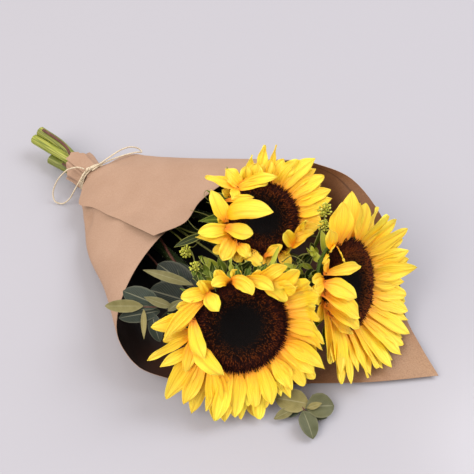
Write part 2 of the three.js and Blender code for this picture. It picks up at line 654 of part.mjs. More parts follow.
const SEEDED = {
  seeded_spray_near: {
    stem: [[-292, -1.8, 30], [-262, -3.7, 28.4], [-238, -4.4, 28.2], [-150, -4, 42],
      [-112, -8, 50], [-98, -16, 57]],
    twigs: [[[-112, -8, 50], [-90, -16, 55], [-73, -24, 61]]],
    heads: [[[-97, -17, 58], [0.2, -0.3, 1], 13], [[-71, -25, 62.5], [0.3, -0.2, 1], 11]],
    seed: 41,
  },
  seeded_spray_far: {
    stem: [[-290, 11.4, 16], [-262, 11.6, 15.6], [-238, 16, 16], [-150, 42, 22], [-90, 63, 36],
      [-40, 75, 50], [-16, 77, 66], [-13, 77, 80]],
    twigs: [],
    heads: [[[-13, 77, 85], [0, 0, 1], 15]],
    seed: 43,
  },
};

function seededSpray({ stem, twigs, heads, seed }) {
  const draw = drawsFrom(seed);
  const pieces = [sprig({ stem, twigs, leaves: [] })];
  heads.forEach(([centre, axis, length]) => pieces.push(seedHead(centre, axis, length, draw)));
  return withoutScraps(fuse(pieces));
}

// Twine: turns round the neck, a knot on top, and two loops of a bow
const KNOT = point(NECK.x + 0.5, NECK.y - 4.5, NECK.z + 18.4);

function twineTie() {
  const turns = TWINE_TURNS.map((shift) => {
    const path = Array.from({ length: 18 }, (_, k) => {
      const angle = (360 * k) / 18;
      const overFlap = angle + 360 <= SHEET[SHEET.length - 1].angle + 24;
      const radius = neckRadius(overFlap ? angle + 360 : angle) + PAPER_FLAT + 4 * GAP + TWINE_RADIUS;
      return neckPoint(angle, radius, NECK.x + shift);
    });
    return closedTube(path, TWINE_RADIUS, 5);
  });
  const knot = new THREE.DodecahedronGeometry(2.7, 0).scale(1.2, 1, 0.8);
  knot.translate(KNOT.x, KNOT.y, KNOT.z);
  return fuse([...turns, solidFromGeometry(knot)]);
}

function closedTube(path, radius, sides) {
  const centre = path.reduce((sum, p) => sum.add(p), point(0, 0, 0)).divideScalar(path.length);
  const loops = path.map((p) => {
    const outward = p.clone().sub(centre);
    outward.x = 0;
    outward.normalize();
    return ringOf(p, outward, point(1, 0, 0), radius, sides);
  });
  const points = loops.flat();
  const faces = [];
  loops.forEach((_, i) => {
    const a = i * sides;
    const b = ((i + 1) % loops.length) * sides;
    for (let k = 0; k < sides; k += 1) {
      const k1 = (k + 1) % sides;
      faces.push([a + k, a + k1, b + k1], [a + k, b + k1, b + k]);
    }
  });
  return solidOf(points, volumeOf(points, faces) < 0 ? faces.map(([p, q, r]) => [p, r, q]) : faces);
}

const BOW_NEAR = [[-262.3, -7.4, 36.6], [-266, -12, 39.5], [-272, -20, 38], [-277, -28, 30],
  [-281, -34, 19], [-281, -39, 9],
  [-276, -41, 2.6], [-269, -37, 2], [-264, -31, 8], [-261, -25, 18], [-259, -18, 28], [-259.6, -8.3, 35.8]];
const BOW_FAR = [[-257.6, -1.5, 37], [-253, 6, 41], [-251, 18, 44], [-250, 32, 45], [-249, 44, 42],
  [-246, 52, 36],
  [-243, 53, 33], [-243, 46, 37], [-246, 34, 39.5], [-250, 20, 40], [-252.8, 8, 39.4], [-255.6, -2.4, 35.6]];

function twineLoop(route) {
  const curve = new THREE.CatmullRomCurve3(route.map((p) => point(...p)), false, 'centripetal');
  const section = new THREE.Shape();
  section.absarc(0, 0, TWINE_RADIUS, 0, 2 * Math.PI);
  return new THREE.ExtrudeGeometry(section, { extrudePath: curve, steps: 24, curveSegments: 4 });
}

// Node list: each entry is one piece of the bunch with its colour and finish
const bunch = new THREE.Group();

function addPiece(name, geometry, color, roughness) {
  const mesh = new THREE.Mesh(geometry, new THREE.MeshStandardMaterial({ color, roughness, metalness: 0 }));
  mesh.name = name;
  bunch.add(mesh);
}

addPiece('paper_wrap', geometryOf(paperWrap()), 0xc9a48a, 0.85);
addPiece('twine_tie', geometryOf(twineTie()), 0xe0d2b4, 0.9);
addPiece('twine_bow_near', geometryOf(solidFromGeometry(twineLoop(BOW_NEAR))), 0xe0d2b4, 0.9);
addPiece('twine_bow_far', geometryOf(solidFromGeometry(twineLoop(BOW_FAR))), 0xe0d2b4, 0.9);
FLOWERS.forEach((flower, i) => {
  addPiece(`sunflower_${flower.name}_petals`, geometryOf(flowerPetals(i)), 0xf7cf12, 0.6);
  addPiece(`sunflower_${flower.name}_disc`, geometryOf(flowerDisc(flower)), 0x2c1610, 0.9);
  addPiece(`sunflower_${flower.name}_stem`, geometryOf(flowerStem(i)), 0x86983a, 0.7);
});
Object.entries(SPRIGS).forEach(([name, shape]) => {
  addPiece(name, geometryOf(sprig(shape)), name.startsWith('leafy') ? 0x6f8f3f : 0x7d8f78, 0.7);
});
Object.entries(SEEDED).forEach(([name, shape]) => {
  addPiece(name, geometryOf(seededSpray(shape)), 0x8c9a35, 0.8);
});

// The origin is the middle of the bunch's footprint, the loose bow not counted
const footprint = new THREE.Box3();
const counted = bunch.children.filter((mesh) => !mesh.name.startsWith('twine_bow'));
counted.forEach((mesh) => footprint.expandByObject(mesh));
const middle = footprint.getCenter(new THREE.Vector3());
bunch.position.set(-middle.x, -middle.y, 0);

export default bunch;
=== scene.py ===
# Bunch of three sunflowers with eucalyptus and seeded sprays, rolled in kraft paper and tied with twine
import json
import math
from functools import partial
import bpy
import numpy as np
from mathutils import Matrix, Vector

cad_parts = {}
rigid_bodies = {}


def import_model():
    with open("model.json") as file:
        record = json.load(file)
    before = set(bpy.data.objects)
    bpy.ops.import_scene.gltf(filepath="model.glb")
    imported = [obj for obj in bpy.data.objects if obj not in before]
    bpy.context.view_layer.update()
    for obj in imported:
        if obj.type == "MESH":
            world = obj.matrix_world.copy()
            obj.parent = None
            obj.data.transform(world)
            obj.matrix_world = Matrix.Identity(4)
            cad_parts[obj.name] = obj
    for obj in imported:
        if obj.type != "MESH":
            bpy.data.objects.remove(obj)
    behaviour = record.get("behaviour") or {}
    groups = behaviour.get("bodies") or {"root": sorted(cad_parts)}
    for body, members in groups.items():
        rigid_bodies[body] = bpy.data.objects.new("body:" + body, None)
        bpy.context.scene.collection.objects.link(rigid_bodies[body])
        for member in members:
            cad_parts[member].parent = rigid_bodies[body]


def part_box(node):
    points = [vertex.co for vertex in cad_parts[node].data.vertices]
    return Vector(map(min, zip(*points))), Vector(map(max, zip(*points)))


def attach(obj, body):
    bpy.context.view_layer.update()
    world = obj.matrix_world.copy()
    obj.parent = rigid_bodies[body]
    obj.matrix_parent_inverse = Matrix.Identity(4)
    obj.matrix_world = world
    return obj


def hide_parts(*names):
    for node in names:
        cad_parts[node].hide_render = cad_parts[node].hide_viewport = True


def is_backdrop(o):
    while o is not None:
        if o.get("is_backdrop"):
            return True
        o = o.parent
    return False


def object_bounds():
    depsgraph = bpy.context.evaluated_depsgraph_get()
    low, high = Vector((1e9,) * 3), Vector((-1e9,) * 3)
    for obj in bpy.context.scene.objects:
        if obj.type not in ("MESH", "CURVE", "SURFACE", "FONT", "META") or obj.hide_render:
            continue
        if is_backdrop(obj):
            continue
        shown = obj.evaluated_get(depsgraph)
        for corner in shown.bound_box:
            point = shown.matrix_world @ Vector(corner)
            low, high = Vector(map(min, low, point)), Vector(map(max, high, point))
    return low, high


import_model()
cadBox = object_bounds()

# Points below are millimetres in a working frame whose X and Y start under the near flower's disc
discLow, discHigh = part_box("sunflower_near_disc")
nearDiscMiddle = np.array([-1.469, -44.100, 66.632])
shift = np.array((discLow + discHigh) / 2) * 1000 - nearDiscMiddle
shift[2] = 0
goldenAngle = 2.39996        # radians between one seed and the next in a seed spiral
print("frame loaded, working frame shifted by", [round(float(v), 2) for v in shift])


# numbers and curves

def smooth(x, low, high):
    t = np.clip((x - low) / (high - low), 0, 1)
    return t * t * (3 - 2 * t)


def mix(a, b, t):
    return a + (b - a) * t


def hump(x, middle, spread):
    return np.exp(-((x - middle) / spread) ** 2)


def unit(v):
    v = np.asarray(v, float)
    return v / np.maximum(np.linalg.norm(v, axis=-1, keepdims=True), 1e-9)


def turned(v, axis, angle):
    c, s = math.cos(angle), math.sin(angle)
    return v * c + np.cross(axis, v) * s + axis * np.dot(axis, v) * (1 - c)


def drawsFrom(seed):
    state = [seed]

    def draw():
        state[0] = (state[0] * 16807) % 2147483647
        return state[0] / 2147483647
    return draw


def curvePoint(points, t):
    # centripetal Catmull-Rom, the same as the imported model's curves
    points = np.asarray(points, float)
    place = t * (len(points) - 1)
    low = min(int(place), len(points) - 2)
    weight = place - low
    p1, p2 = points[low], points[low + 1]
    p0 = points[low - 1] if low > 0 else 2 * p1 - p2
    p3 = points[low + 2] if low + 2 < len(points) else 2 * p2 - p1
    d0, d1, d2 = (max(np.dot(b - a, b - a) ** 0.25, 1e-4) for a, b in ((p0, p1), (p1, p2), (p2, p3)))
    t1 = ((p1 - p0) / d0 - (p2 - p0) / (d0 + d1) + (p2 - p1) / d1) * d1
    t2 = ((p2 - p1) / d1 - (p3 - p1) / (d1 + d2) + (p3 - p2) / d2) * d1
    c2 = -3 * p1 + 3 * p2 - 2 * t1 - t2
    c3 = 2 * p1 - 2 * p2 + t1 + t2
    return p1 + t1 * weight + c2 * weight ** 2 + c3 * weight ** 3


def lengthsAlong(path):
    return np.concatenate([[0], np.cumsum(np.linalg.norm(np.diff(path, axis=0), axis=1))])


def curveLine(points, steps):
    # even steps along the curve, measured on a line eight times as fine
    fine = np.array([curvePoint(points, i / (steps * 8)) for i in range(steps * 8 + 1)])
    lengths = lengthsAlong(fine)
    marks = np.linspace(0, lengths[-1], steps + 1)
    return np.stack([np.interp(marks, lengths, fine[:, k]) for k in range(3)], axis=1)


def inMetres(points):
    return (np.asarray(points, float) + shift) / 1000


# materials

multiply = {"data_type": "RGBA", "blend_type": "MULTIPLY"}
blend = {"data_type": "RGBA"}


def linear(hexColour):
    parts = [int(hexColour[i:i + 2], 16) / 255 for i in (0, 2, 4)]
    return tuple(c / 12.92 if c <= 0.04045 else ((c + 0.055) / 1.055) ** 2.4 for c in parts) + (1.0,)


def addNode(tree, kind, inputs=(), stops=(), **settings):
    # inputs go by name or number, or in order as a list; a node stands for its first output
    node = tree.nodes.new(kind)
    for name, value in settings.items():
        setattr(node, name, value)
    for socket, value in inputs.items() if isinstance(inputs, dict) else enumerate(inputs):
        for source in value if isinstance(value, list) else [value]:
            if isinstance(source, bpy.types.Node):
                source = source.outputs[0]
            if isinstance(source, bpy.types.NodeSocket):
                tree.links.new(source, node.inputs[socket])
            else:
                node.inputs[socket].default_value = source
    if stops:
        elements = node.color_ramp.elements
        elements.remove(elements[1])
        elements[0].position, elements[0].color = stops[0][0], linear(stops[0][1])
        for place, colour in stops[1:]:
            elements.new(place).color = linear(colour)
    return node


def newMaterial(name):
    material = bpy.data.materials.new(name)
    material.use_nodes = True
    material.node_tree.nodes.clear()
    return material, partial(addNode, material.node_tree)


def finishMaterial(add, values, colour, relief=None):
    # values go on the shader's own sockets; relief is a height, its depth in metres and its strength
    if relief:
        bump = add("ShaderNodeBump", dict(zip(("Height", "Distance", "Strength"), relief)))
        values = {**values, "Normal": bump}
    shader = add("ShaderNodeBsdfPrincipled", {**values, "Base Color": colour})
    add("ShaderNodeOutputMaterial", {"Surface": shader})


def speckle(add, scale, detail, stops):
    # noise in the object's own place, scale waves a metre, and the colours that it runs through
    place = add("ShaderNodeTexCoord").outputs["Object"]
    noise = add("ShaderNodeTexNoise", {"Vector": place, "Scale": scale, "Detail": detail})
    return noise, add("ShaderNodeValToRGB", [noise], stops)


def streaks(add, vector, scale, detail):
    # noise drawn out along a surface: scale gives waves across it and along it
    stretched = add("ShaderNodeMapping", {"Vector": vector, "Scale": (*scale, 1)})
    return add("ShaderNodeTexNoise", {"Vector": stretched, "Scale": 1.0, "Detail": detail})


def readSurface(add):
    # the surface's coordinates, its shares across and along, and the tone that its points carry
    surface = add("ShaderNodeUVMap", uv_map="surface")
    separate = add("ShaderNodeSeparateXYZ", [surface])
    tone = add("ShaderNodeAttribute", attribute_name="tone")
    return surface, separate.outputs["X"], separate.outputs["Y"], tone.outputs["Fac"]


def distanceFrom(add, value, middle):
    centred = add("ShaderNodeMath", [value, middle], operation="SUBTRACT")
    return add("ShaderNodeMath", [centred], operation="ABSOLUTE")


# geometry nodes: a tree with named inputs, and the plain mesh that it makes of an object

def newTree(name, kinds):
    tree = bpy.data.node_groups.new(name, "GeometryNodeTree")
    newSocket = tree.interface.new_socket
    newSocket("Geometry", in_out="INPUT", socket_type="NodeSocketGeometry")
    sockets = {label: newSocket(label, in_out="INPUT", socket_type="NodeSocket" + kind).identifier
               for label, kind in kinds.items()}
    newSocket("Geometry", in_out="OUTPUT", socket_type="NodeSocketGeometry")
    add = partial(addNode, tree)
    return (tree, sockets), add, add("NodeGroupInput").outputs


def finishTree(add, geometry, material):
    plain = add("GeometryNodeRealizeInstances", [geometry])
    coloured = add("GeometryNodeSetMaterial", {"Geometry": plain, "Material": material})
    add("NodeGroupOutput", [coloured])


def grow(mesh, grove, values, name, placement):
    tree, sockets = grove
    holder = placeObject("holder", mesh)
    growth = holder.modifiers.new(tree.name, "NODES")
    growth.node_group = tree
    for label, value in values.items():
        growth[sockets[label]] = value
    depsgraph = bpy.context.evaluated_depsgraph_get()
    grown = bpy.data.meshes.new_from_object(holder.evaluated_get(depsgraph), depsgraph=depsgraph)
    grown.name = name
    holder.modifiers.clear()
    bpy.data.objects.remove(holder)
    grown.transform(placement)
    grown.polygons.foreach_set("use_smooth", np.full(len(grown.polygons), True))
    return placeObject(name, grown)


# meshes: a part gathers points, faces, surface coordinates, a tone and a material index

def newPart():
    return {"points": [], "faces": [], "uvs": [], "tones": [], "looks": [], "count": 0}


def addPoints(part, points, uvs, tone):
    start = part["count"]
    points = np.asarray(points, float).reshape(-1, 3)
    part["points"].append(points)
    part["uvs"].append(np.asarray(uvs, float).reshape(-1, 2))
    part["tones"].append(np.full(len(points), tone) if np.isscalar(tone) else np.asarray(tone).reshape(-1))
    part["count"] += len(points)
    return start


def addFace(part, corners, look):
    part["faces"].append(corners)
    part["looks"].append(look)


def addShell(part, grid, thickness, tone=0.5, looks=(0, 0, 0)):
    # a thin closed skin on both sides of a grid of points; looks are the upper, lower and edge materials
    grid = np.asarray(grid, float)
    columns, rows = grid.shape[:2]
    normal = unit(np.cross(np.gradient(grid, axis=0), np.gradient(grid, axis=1)))
    half = (np.broadcast_to(thickness, (columns, rows)) / 2)[..., None]
    u, v = np.meshgrid(np.linspace(0, 1, columns), np.linspace(0, 1, rows), indexing="ij")
    uvs = np.stack([u, v], axis=-1)
    upper = addPoints(part, grid + normal * half, uvs, tone)
    lower = addPoints(part, grid - normal * half, uvs, tone)
    at = lambda k, i: k * rows + i
    for k in range(columns - 1):
        for i in range(rows - 1):
            quad = [at(k, i), at(k + 1, i), at(k + 1, i + 1), at(k, i + 1)]
            addFace(part, [upper + q for q in quad], looks[0])
            addFace(part, [lower + q for q in reversed(quad)], looks[1])
    loop = [at(k, 0) for k in range(columns - 1)] + [at(columns - 1, i) for i in range(rows - 1)]
    loop += [at(k, rows - 1) for k in range(columns - 1, 0, -1)] + [at(0, i) for i in range(rows - 1, 0, -1)]
    for a, b in zip(loop, loop[1:] + loop[:1]):
        addFace(part, [upper + b, upper + a, lower + a, lower + b], looks[2])


def addRings(part, rings, uvs, tone, looks, closed=False):
    # a skin over a row of rings, with a cap on each end unless the last ring meets the first
    count, sides = rings.shape[:2]
    start = addPoints(part, rings, uvs, tone)
    for i in range(count if closed else count - 1):
        a, b = start + i * sides, start + (i + 1) % count * sides
        for k in range(sides):
            k1 = (k + 1) % sides
            addFace(part, [a + k, a + k1, b + k1, b + k], looks[0])
    if not closed:
        addFace(part, [start + k for k in reversed(range(sides))], looks[1])
        addFace(part, [start + (count - 1) * sides + k for k in range(sides)], looks[1])


def tubeFrames(path, closed=False):
    tangents = unit(np.roll(path, -1, 0) - np.roll(path, 1, 0)) if closed else unit(np.gradient(path, axis=0))
    normal = np.cross(tangents[0], [0, 0, 1])
    if np.linalg.norm(normal) < 0.1:
        normal = np.cross(tangents[0], [0, 1, 0])
    normals = []
    for tangent in tangents:
        normal = unit(normal - tangent * np.dot(normal, tangent))
        normals.append(normal)
    return np.array(normals), np.cross(tangents, np.array(normals))


def addTube(part, path, radii, sides, closed=False, ply=0, plyDepth=0.0, plyTurn=0.0, tone=0.5, looks=(0, 0)):
    # ply gives a cord its strands: lobes round the section that turn along the path
    path = np.asarray(path, float)
    radii = np.broadcast_to(radii, (len(path),))
    normals, binormals = tubeFrames(path, closed)
    lengths = lengthsAlong(path)
    angles = 2 * math.pi * np.arange(sides) / sides
    wave = 1 + plyDepth * np.cos(ply * (angles[None, :] - plyTurn * lengths[:, None]))
    reach = (radii[:, None] * wave)[..., None]
    cosines, sines = np.cos(angles)[None, :, None], np.sin(angles)[None, :, None]
    ring = cosines * normals[:, None] + sines * binormals[:, None]
    uvs = np.stack(np.broadcast_arrays(angles[None, :] / (2 * math.pi), lengths[:, None]), axis=-1)
    addRings(part, path[:, None] + ring * reach, uvs, tone, looks, closed)


# pieces

def placeObject(name, data):
    thing = bpy.data.objects.new(name, data)
    bpy.context.scene.collection.objects.link(thing)
    return thing


def placementOf(rotation, middle):
    placement = rotation.to_4x4()
    placement.translation = Vector(inMetres(middle))
    return placement


def buildPiece(name, part, materials, nodes):
    mesh = bpy.data.meshes.new(name)
    mesh.from_pydata(inMetres(np.concatenate(part["points"])).tolist(), [], part["faces"])
    uvLayer = mesh.uv_layers.new(name="surface")
    corners = np.zeros(len(mesh.loops), dtype=np.int32)
    mesh.loops.foreach_get("vertex_index", corners)
    uvLayer.data.foreach_set("uv", np.concatenate(part["uvs"])[corners].astype(np.float32).ravel())
    tones = mesh.attributes.new("tone", "FLOAT", "POINT")
    tones.data.foreach_set("value", np.concatenate(part["tones"]).astype(np.float32))
    for material in materials:
        mesh.materials.append(material)
    mesh.polygons.foreach_set("material_index", np.array(part["looks"], dtype=np.int32))
    mesh.polygons.foreach_set("use_smooth", np.full(len(mesh.polygons), True))
    mesh.update()
    mesh.set_sharp_from_angle(angle=math.radians(60))      # rims stay crisp
    return finishPiece(placeObject(name, mesh), nodes)


def finishPiece(piece, nodes=()):
    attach(piece, "root")
    if nodes:
        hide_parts(*nodes)
    return piece


# camera, light and table

view = {
    "place": (246.6, -295.1, 599.6),
    "axes": [(0.70711, 0.70711, 0.0), (-0.54167, 0.54167, 0.64279), (0.45451, -0.45451, 0.76604)],
    "fieldOfView": 34.0,
}
camera = placeObject("camera", bpy.data.cameras.new("camera"))
camera.data.sensor_fit = "HORIZONTAL"
camera.data.angle = math.radians(view["fieldOfView"])
camera.data.clip_start, camera.data.clip_end = 0.01, 50
camera.matrix_world = placementOf(Matrix(view["axes"]).transposed(), view["place"])
bpy.context.scene.camera = camera
bpy.context.scene.view_settings.view_transform = "Standard"

light = {
    "aim": (0.08, 0, 0.03),
    "key": {"place": (0.95, 2.1, 2.7), "size": 2.0, "energy": 74, "colour": "fafaff"},
    "fill": {"place": (-0.5, -2.2, 2.5), "size": 2.4, "energy": 88, "colour": "fff6ee"},
    "sky": {"colour": "f1e8e6", "strength": 0.99},
    "table": "a9aab1",
}
for name in ("key", "fill"):
    lamp = bpy.data.lights.new(name, "AREA")
    lamp.size, lamp.energy = light[name]["size"], light[name]["energy"]
    lamp.color = linear(light[name]["colour"])[:3]
    holder = placeObject(name, lamp)
    holder.location = light[name]["place"]
    holder.rotation_euler = (Vector(light["aim"]) - holder.location).to_track_quat("-Z", "Y").to_euler()

world = bpy.data.worlds.new("softRoom")
world.use_nodes = True
sky = world.node_tree.nodes["Background"].inputs
sky["Color"].default_value = linear(light["sky"]["colour"])
sky["Strength"].default_value = light["sky"]["strength"]
bpy.context.scene.world = world

# lacquered table top: a clear gloss over white, which gives faint soft reflections
tableWhite, add = newMaterial("lacqueredTable")
finishMaterial(add, {"Roughness": 0.2, "Specular IOR Level": 0.35}, linear(light["table"]))
floorMesh = bpy.data.meshes.new("table")
floorMesh.from_pydata([(-5, -5, 0), (5, -5, 0), (5, 5, 0), (-5, 5, 0)], [], [(0, 1, 2, 3)])
floorMesh.materials.append(tableWhite)
floor = placeObject("table", floorMesh)
floor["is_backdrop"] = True
print("camera, light and table set")


# twine: cotton, three fine strands twisted together

twine = {
    "radius": 0.8,
    "strandMiddle": 0.9,   # share of the radius where the strands' lobes start
    "strands": 3,
    "strandDepth": 0.16,
    "sides": 14,
    "turn": 0.75,          # radians of twist a millimetre
    "colour": ("9f9076", "cabc9f", "e2d8c2"),
    "neck": {"x": -260.0, "y": 0.0, "z": 17.2, "inner": 14.2, "overlap": 1.5},
    # degrees round the neck: where the sheet climbs on itself, and where the turns come down from its edge
    "overlapBetween": (345, 425),
    "lap": {"end": 506, "ease": (128, 150)},
    "turns": [(-1.7, 0.5), (0.0, -0.4), (1.7, 0.3)],    # place along the neck and tilt of each turn
    "turnLift": 1.9,
    "bowNear": [(-262.3, -7.4, 36.6), (-266, -12, 39.5), (-272, -20, 38), (-277, -28, 30), (-281, -34, 19),
                (-281, -39, 9), (-276, -41, 2.6), (-269, -37, 2), (-264, -31, 8), (-261, -25, 18),
                (-259, -18, 28), (-259.6, -8.3, 35.8)],
    "bowFar": [(-257.6, -1.5, 37), (-253, 6, 41), (-251, 18, 44), (-250, 32, 45), (-249, 44, 42),
               (-246, 52, 36), (-243, 53, 33), (-243, 46, 37), (-246, 34, 39.5), (-250, 20, 40),
               (-252.8, 8, 39.4), (-255.6, -2.4, 35.6)],
    "knot": (-259.5, -4.5, 35.6),
}
neck = twine["neck"]


def neckRadius(angle):
    return neck["inner"] + neck["overlap"] * float(smooth(angle, *twine["overlapBetween"]))


def neckPoint(angle, radius, x):
    turn = math.radians(angle)
    return np.array([x, neck["y"] + radius * math.cos(turn), neck["z"] + radius * math.sin(turn)])


# cotton twine: matt, cream, with a fleck of darker fibre in the grooves
cottonTwine, add = newMaterial("cottonTwine")
fleck, ramp = speckle(add, 1400.0, 3.0, list(zip((0.3, 0.48, 0.68), twine["colour"])))
finishMaterial(add, {"Roughness": 0.9}, ramp, (fleck, 0.0003, 0.6))


def addTwine(part, path, closed=False):
    addTube(part, path, twine["radius"] * twine["strandMiddle"], twine["sides"], closed=closed,
            ply=twine["strands"], plyDepth=twine["strandDepth"], plyTurn=twine["turn"])


for side in ("Near", "Far"):
    line = curveLine(twine["bow" + side], 120)
    part = newPart()
    addTwine(part, line)
    bow = buildPiece("twineBow" + side, part, [cottonTwine], ["twine_bow_" + side.lower()])
    metres = inMetres(line)
    length = float(np.linalg.norm(np.diff(metres, axis=0), axis=1).sum())
    print("bow", side, "length in metres", round(length, 4))

part = newPart()
for x, tilt in twine["turns"]:
    ring = []
    for k in range(150):
        angle = 360 * k / 150
        radius = neckRadius(angle)
        if angle + 360 <= twine["lap"]["end"]:
            eased = 1 - float(smooth(angle, *twine["lap"]["ease"]))
            radius = neckRadius(angle + 360) * eased + radius * (1 - eased)
        ring.append(neckPoint(angle, radius + twine["turnLift"],
                              neck["x"] + x + tilt * math.sin(math.radians(angle + 40))))
    addTwine(part, ring, closed=True)
# the knot: one lying coil, and one that stands across it
for steps, turns, start, coil in (
        (90, 2.2, 0.0, lambda t, a: (2.6 * (t - 0.5) + math.sin(a * 0.5), 1.75 * math.cos(a),
                                     1.35 * math.sin(a) + 0.3)),
        (60, 1.2, 0.6, lambda t, a: (1.9 * math.cos(a), 2.3 * (t - 0.5), 1.5 * math.sin(a)))):
    marks = [k / (steps - 1) for k in range(steps)]
    addTwine(part, [np.array(twine["knot"]) + coil(t, 2 * math.pi * turns * t + start) for t in marks])
buildPiece("twineTurns", part, [cottonTwine], ["twine_tie"])
print("twine made")


# kraft paper: one sheet rolled into a cone, its top flap lapped over the near side

paper = {
    "thick": 0.4,
    "solidThick": 0.8,
    "rows": 5,
    "finerColumns": 6,
    "finerRows": 70,
    "pleats": 9,
    "pleatDepth": 2.2,
    "flapLift": 1.3,
    # swellings: height, angle round the sheet and spread, share from collar to rim and spread;
    # a fuller flank just past the neck on the near side, and a dip under the start of the flap's edge
    "swells": [(9, 186, 26, 0.47, 0.19), (-6, 158, 11, 0.37, 0.045)],
    # waves of the flap's free edge: height, share from collar to rim and spread
    "flapWaves": [(2.0, 0.62, 0.05), (-1.4, 0.72, 0.05), (3, 0.38, 0.05)],
    # painted light and shade on the inside at the rim, by angle round the sheet: painted shade under the flap,
    # painted light at the corner
    "paintedRimLight": [(72, 0.04), (140, 0.06), (186, 0.08), (202, 0.12), (240, 0.32), (260, 0.5), (282, 0.85),
                (304, 1.0), (318, 0.9), (334, 0.8), (350, 0.7), (386, 0.56), (400, 0.34), (432, 0.06),
                (482, 0.03)],
    "sheet": [
        (72, (-240, 13, 33), (-122, 12, 62)), (100, (-240, -6, 32.5), (-124, -17, 60)),
        (122, (-241, -16, 29), (-119, -46, 57)), (140, (-242, -22, 22), (-109, -73, 54)),
        (157, (-243, -25, 17), (-95, -98, 48)), (172, (-244, -27, 12.5), (-81, -112, 40)),
        (186, (-244, -26, 8), (-67, -116, 32)), (202, (-243, -23, 4), (-52, -114, 22)),
        (218, (-242, -18, 1.2), (-29, -100, 14)), (240, (-241, -10, 0.4), (12, -69, 5)),
        (260, (-240, 0, 0.4), (49, -20, 3)), (282, (-241, 12, 0.4), (91, 24, 4)),
        (304, (-246, 25, 0.4), (129, 71, 4)), (318, (-250, 32, 2), (101, 82, 8)),
        (334, (-254, 39, 8), (72, 97, 11)), (350, (-257, 42, 14), (39, 121, 36)),
        (362, (-258, 43, 18), (13, 129, 66)), (374, (-258, 42, 22), (-31, 132, 88)),
        (386, (-257, 40, 26), (-62, 122, 92)), (400, (-255, 34, 30), (-81, 112, 92)),
        (416, (-250, 22, 35), (-108, 76, 88)), (432, (-246, 11, 37.5), (-115, 51, 82)),
        (448, (-243, 0, 38), (-118, 21, 76)), (464, (-240, -14, 35), (-113, -2, 70)),
        (482, (-239, -31, 24), (-125, -29, 63.5)),
    ],
}


def paperLine(angle, shoulder, rim):
    radius = neckRadius(angle)
    turn = math.radians(angle)
    flat = paper["solidThick"] / 2
    line = [
        neckPoint(angle, radius + 2.2 + 0.8 * math.sin(3 * turn),
                  neck["x"] - 27 + 3 * math.sin(2 * turn + 1)),
        neckPoint(angle, radius + 0.9 + 0.3 * math.sin(3 * turn), neck["x"] - 13),
        neckPoint(angle, radius, neck["x"] - 3),
        neckPoint(angle, radius, neck["x"] + 3),
    ]
    start = mix(line[3], shoulder, 0.5)
    start[0] = mix(line[3][0], shoulder[0], 0.32)
    line += [start, shoulder.copy()]
    lying = 1 - float(smooth(shoulder[2], flat, 6))
    for i in range(1, paper["rows"] + 1):
        v = i / paper["rows"]
        p = mix(shoulder, rim, v)
        lifted = shoulder[2] + (rim[2] - shoulder[2]) * float(smooth(v, 0.78, 1))
        p[2] = mix(p[2], min(p[2], lifted), lying)
        line.append(p)
    line = np.array(line)
    line[:, 2] = np.maximum(line[:, 2], flat)
    return line


def sheetPoint(points, u):
    # the sheet's own corner stays sharp: the curve is drawn in two runs that meet there
    corner = len(points) // 2
    if u <= 0.5:
        return curvePoint(points[:corner + 1], 2 * u)
    return curvePoint(points[corner:], 2 * u - 1)


angles, shoulders, rims = zip(*paper["sheet"])
paintedLightAngles, paintedLightValues = zip(*paper["paintedRimLight"])
paperColumns = paper["finerColumns"] * (len(angles) - 1)
along = np.linspace(0, 1, paper["finerRows"] + 1)
paperGrid, paintedInsideLight = [], []
for k in range(paperColumns + 1):
    u = k / paperColumns
    angle = float(np.interp(u * (len(angles) - 1), range(len(angles)), angles))
    turn = math.radians(angle)
    line = curveLine(paperLine(angle, sheetPoint(shoulders, u), sheetPoint(rims, u)), paper["finerRows"])
    fromTie = line[:, 0] - neck["x"]
    # sharp gathers on both sides of the twine, none under it
    gathered = (1 - np.exp(-(fromTie / 7) ** 2)) * np.exp(-(np.maximum(fromTie, -fromTie * 0.6) / 42) ** 2)
    phase = 0.5 * paper["pleats"] * turn + 0.9 * math.sin(2 * turn) + 0.5 * math.sin(5 * turn + 1)
    pleat = 1 - abs(math.sin(phase)) ** 0.8 + 0.25 * np.sin(fromTie * 0.35 + 3 * turn) * gathered
    outward = line - np.array([0, neck["y"], neck["z"]])
    outward[:, 0] = 0
    outward = unit(outward)
    line = line + outward * (gathered * pleat * paper["pleatDepth"])[:, None]
    # dog-eared end of the collar
    line[:, 0] += smooth(-fromTie, 14, 27) * (3.2 * math.sin(2.7 * turn + 0.6) + 1.6 * math.sin(7 * turn))
    # the flap's free edge stands off the sheet under it
    edge = float(smooth(angle, 455, 482)) * smooth(along, 0.25, 0.34)
    line += outward * (edge * (paper["flapLift"] + sum(rise * hump(along, *place)
                                                      for rise, *place in paper["flapWaves"])))[:, None]
    # long slack dents of a sheet that was rolled by hand, hardly any where it lies on the table or on itself
    slack = 0.3 * np.sin(9 * along + 2.3 * turn) * np.sin(3 * turn + 4 * along) * smooth(along, 0.3, 0.6)
    line += outward * (slack * (0.1 if angle > 410 or 200 < angle < 330 else 1))[:, None]
    for rise, middle, spread, *place in paper["swells"]:
        line += outward * (rise * hump(angle, middle, spread) * hump(along, *place))[:, None]
    line[:, 2] = np.maximum(line[:, 2], 0.35)
    paperGrid.append(line)
    # painted shade: the inside's colour darkens from the rim down into the cone
    paintedInsideLight.append(float(np.interp(angle, paintedLightAngles, paintedLightValues)) * smooth(along, 0.6, 0.97))

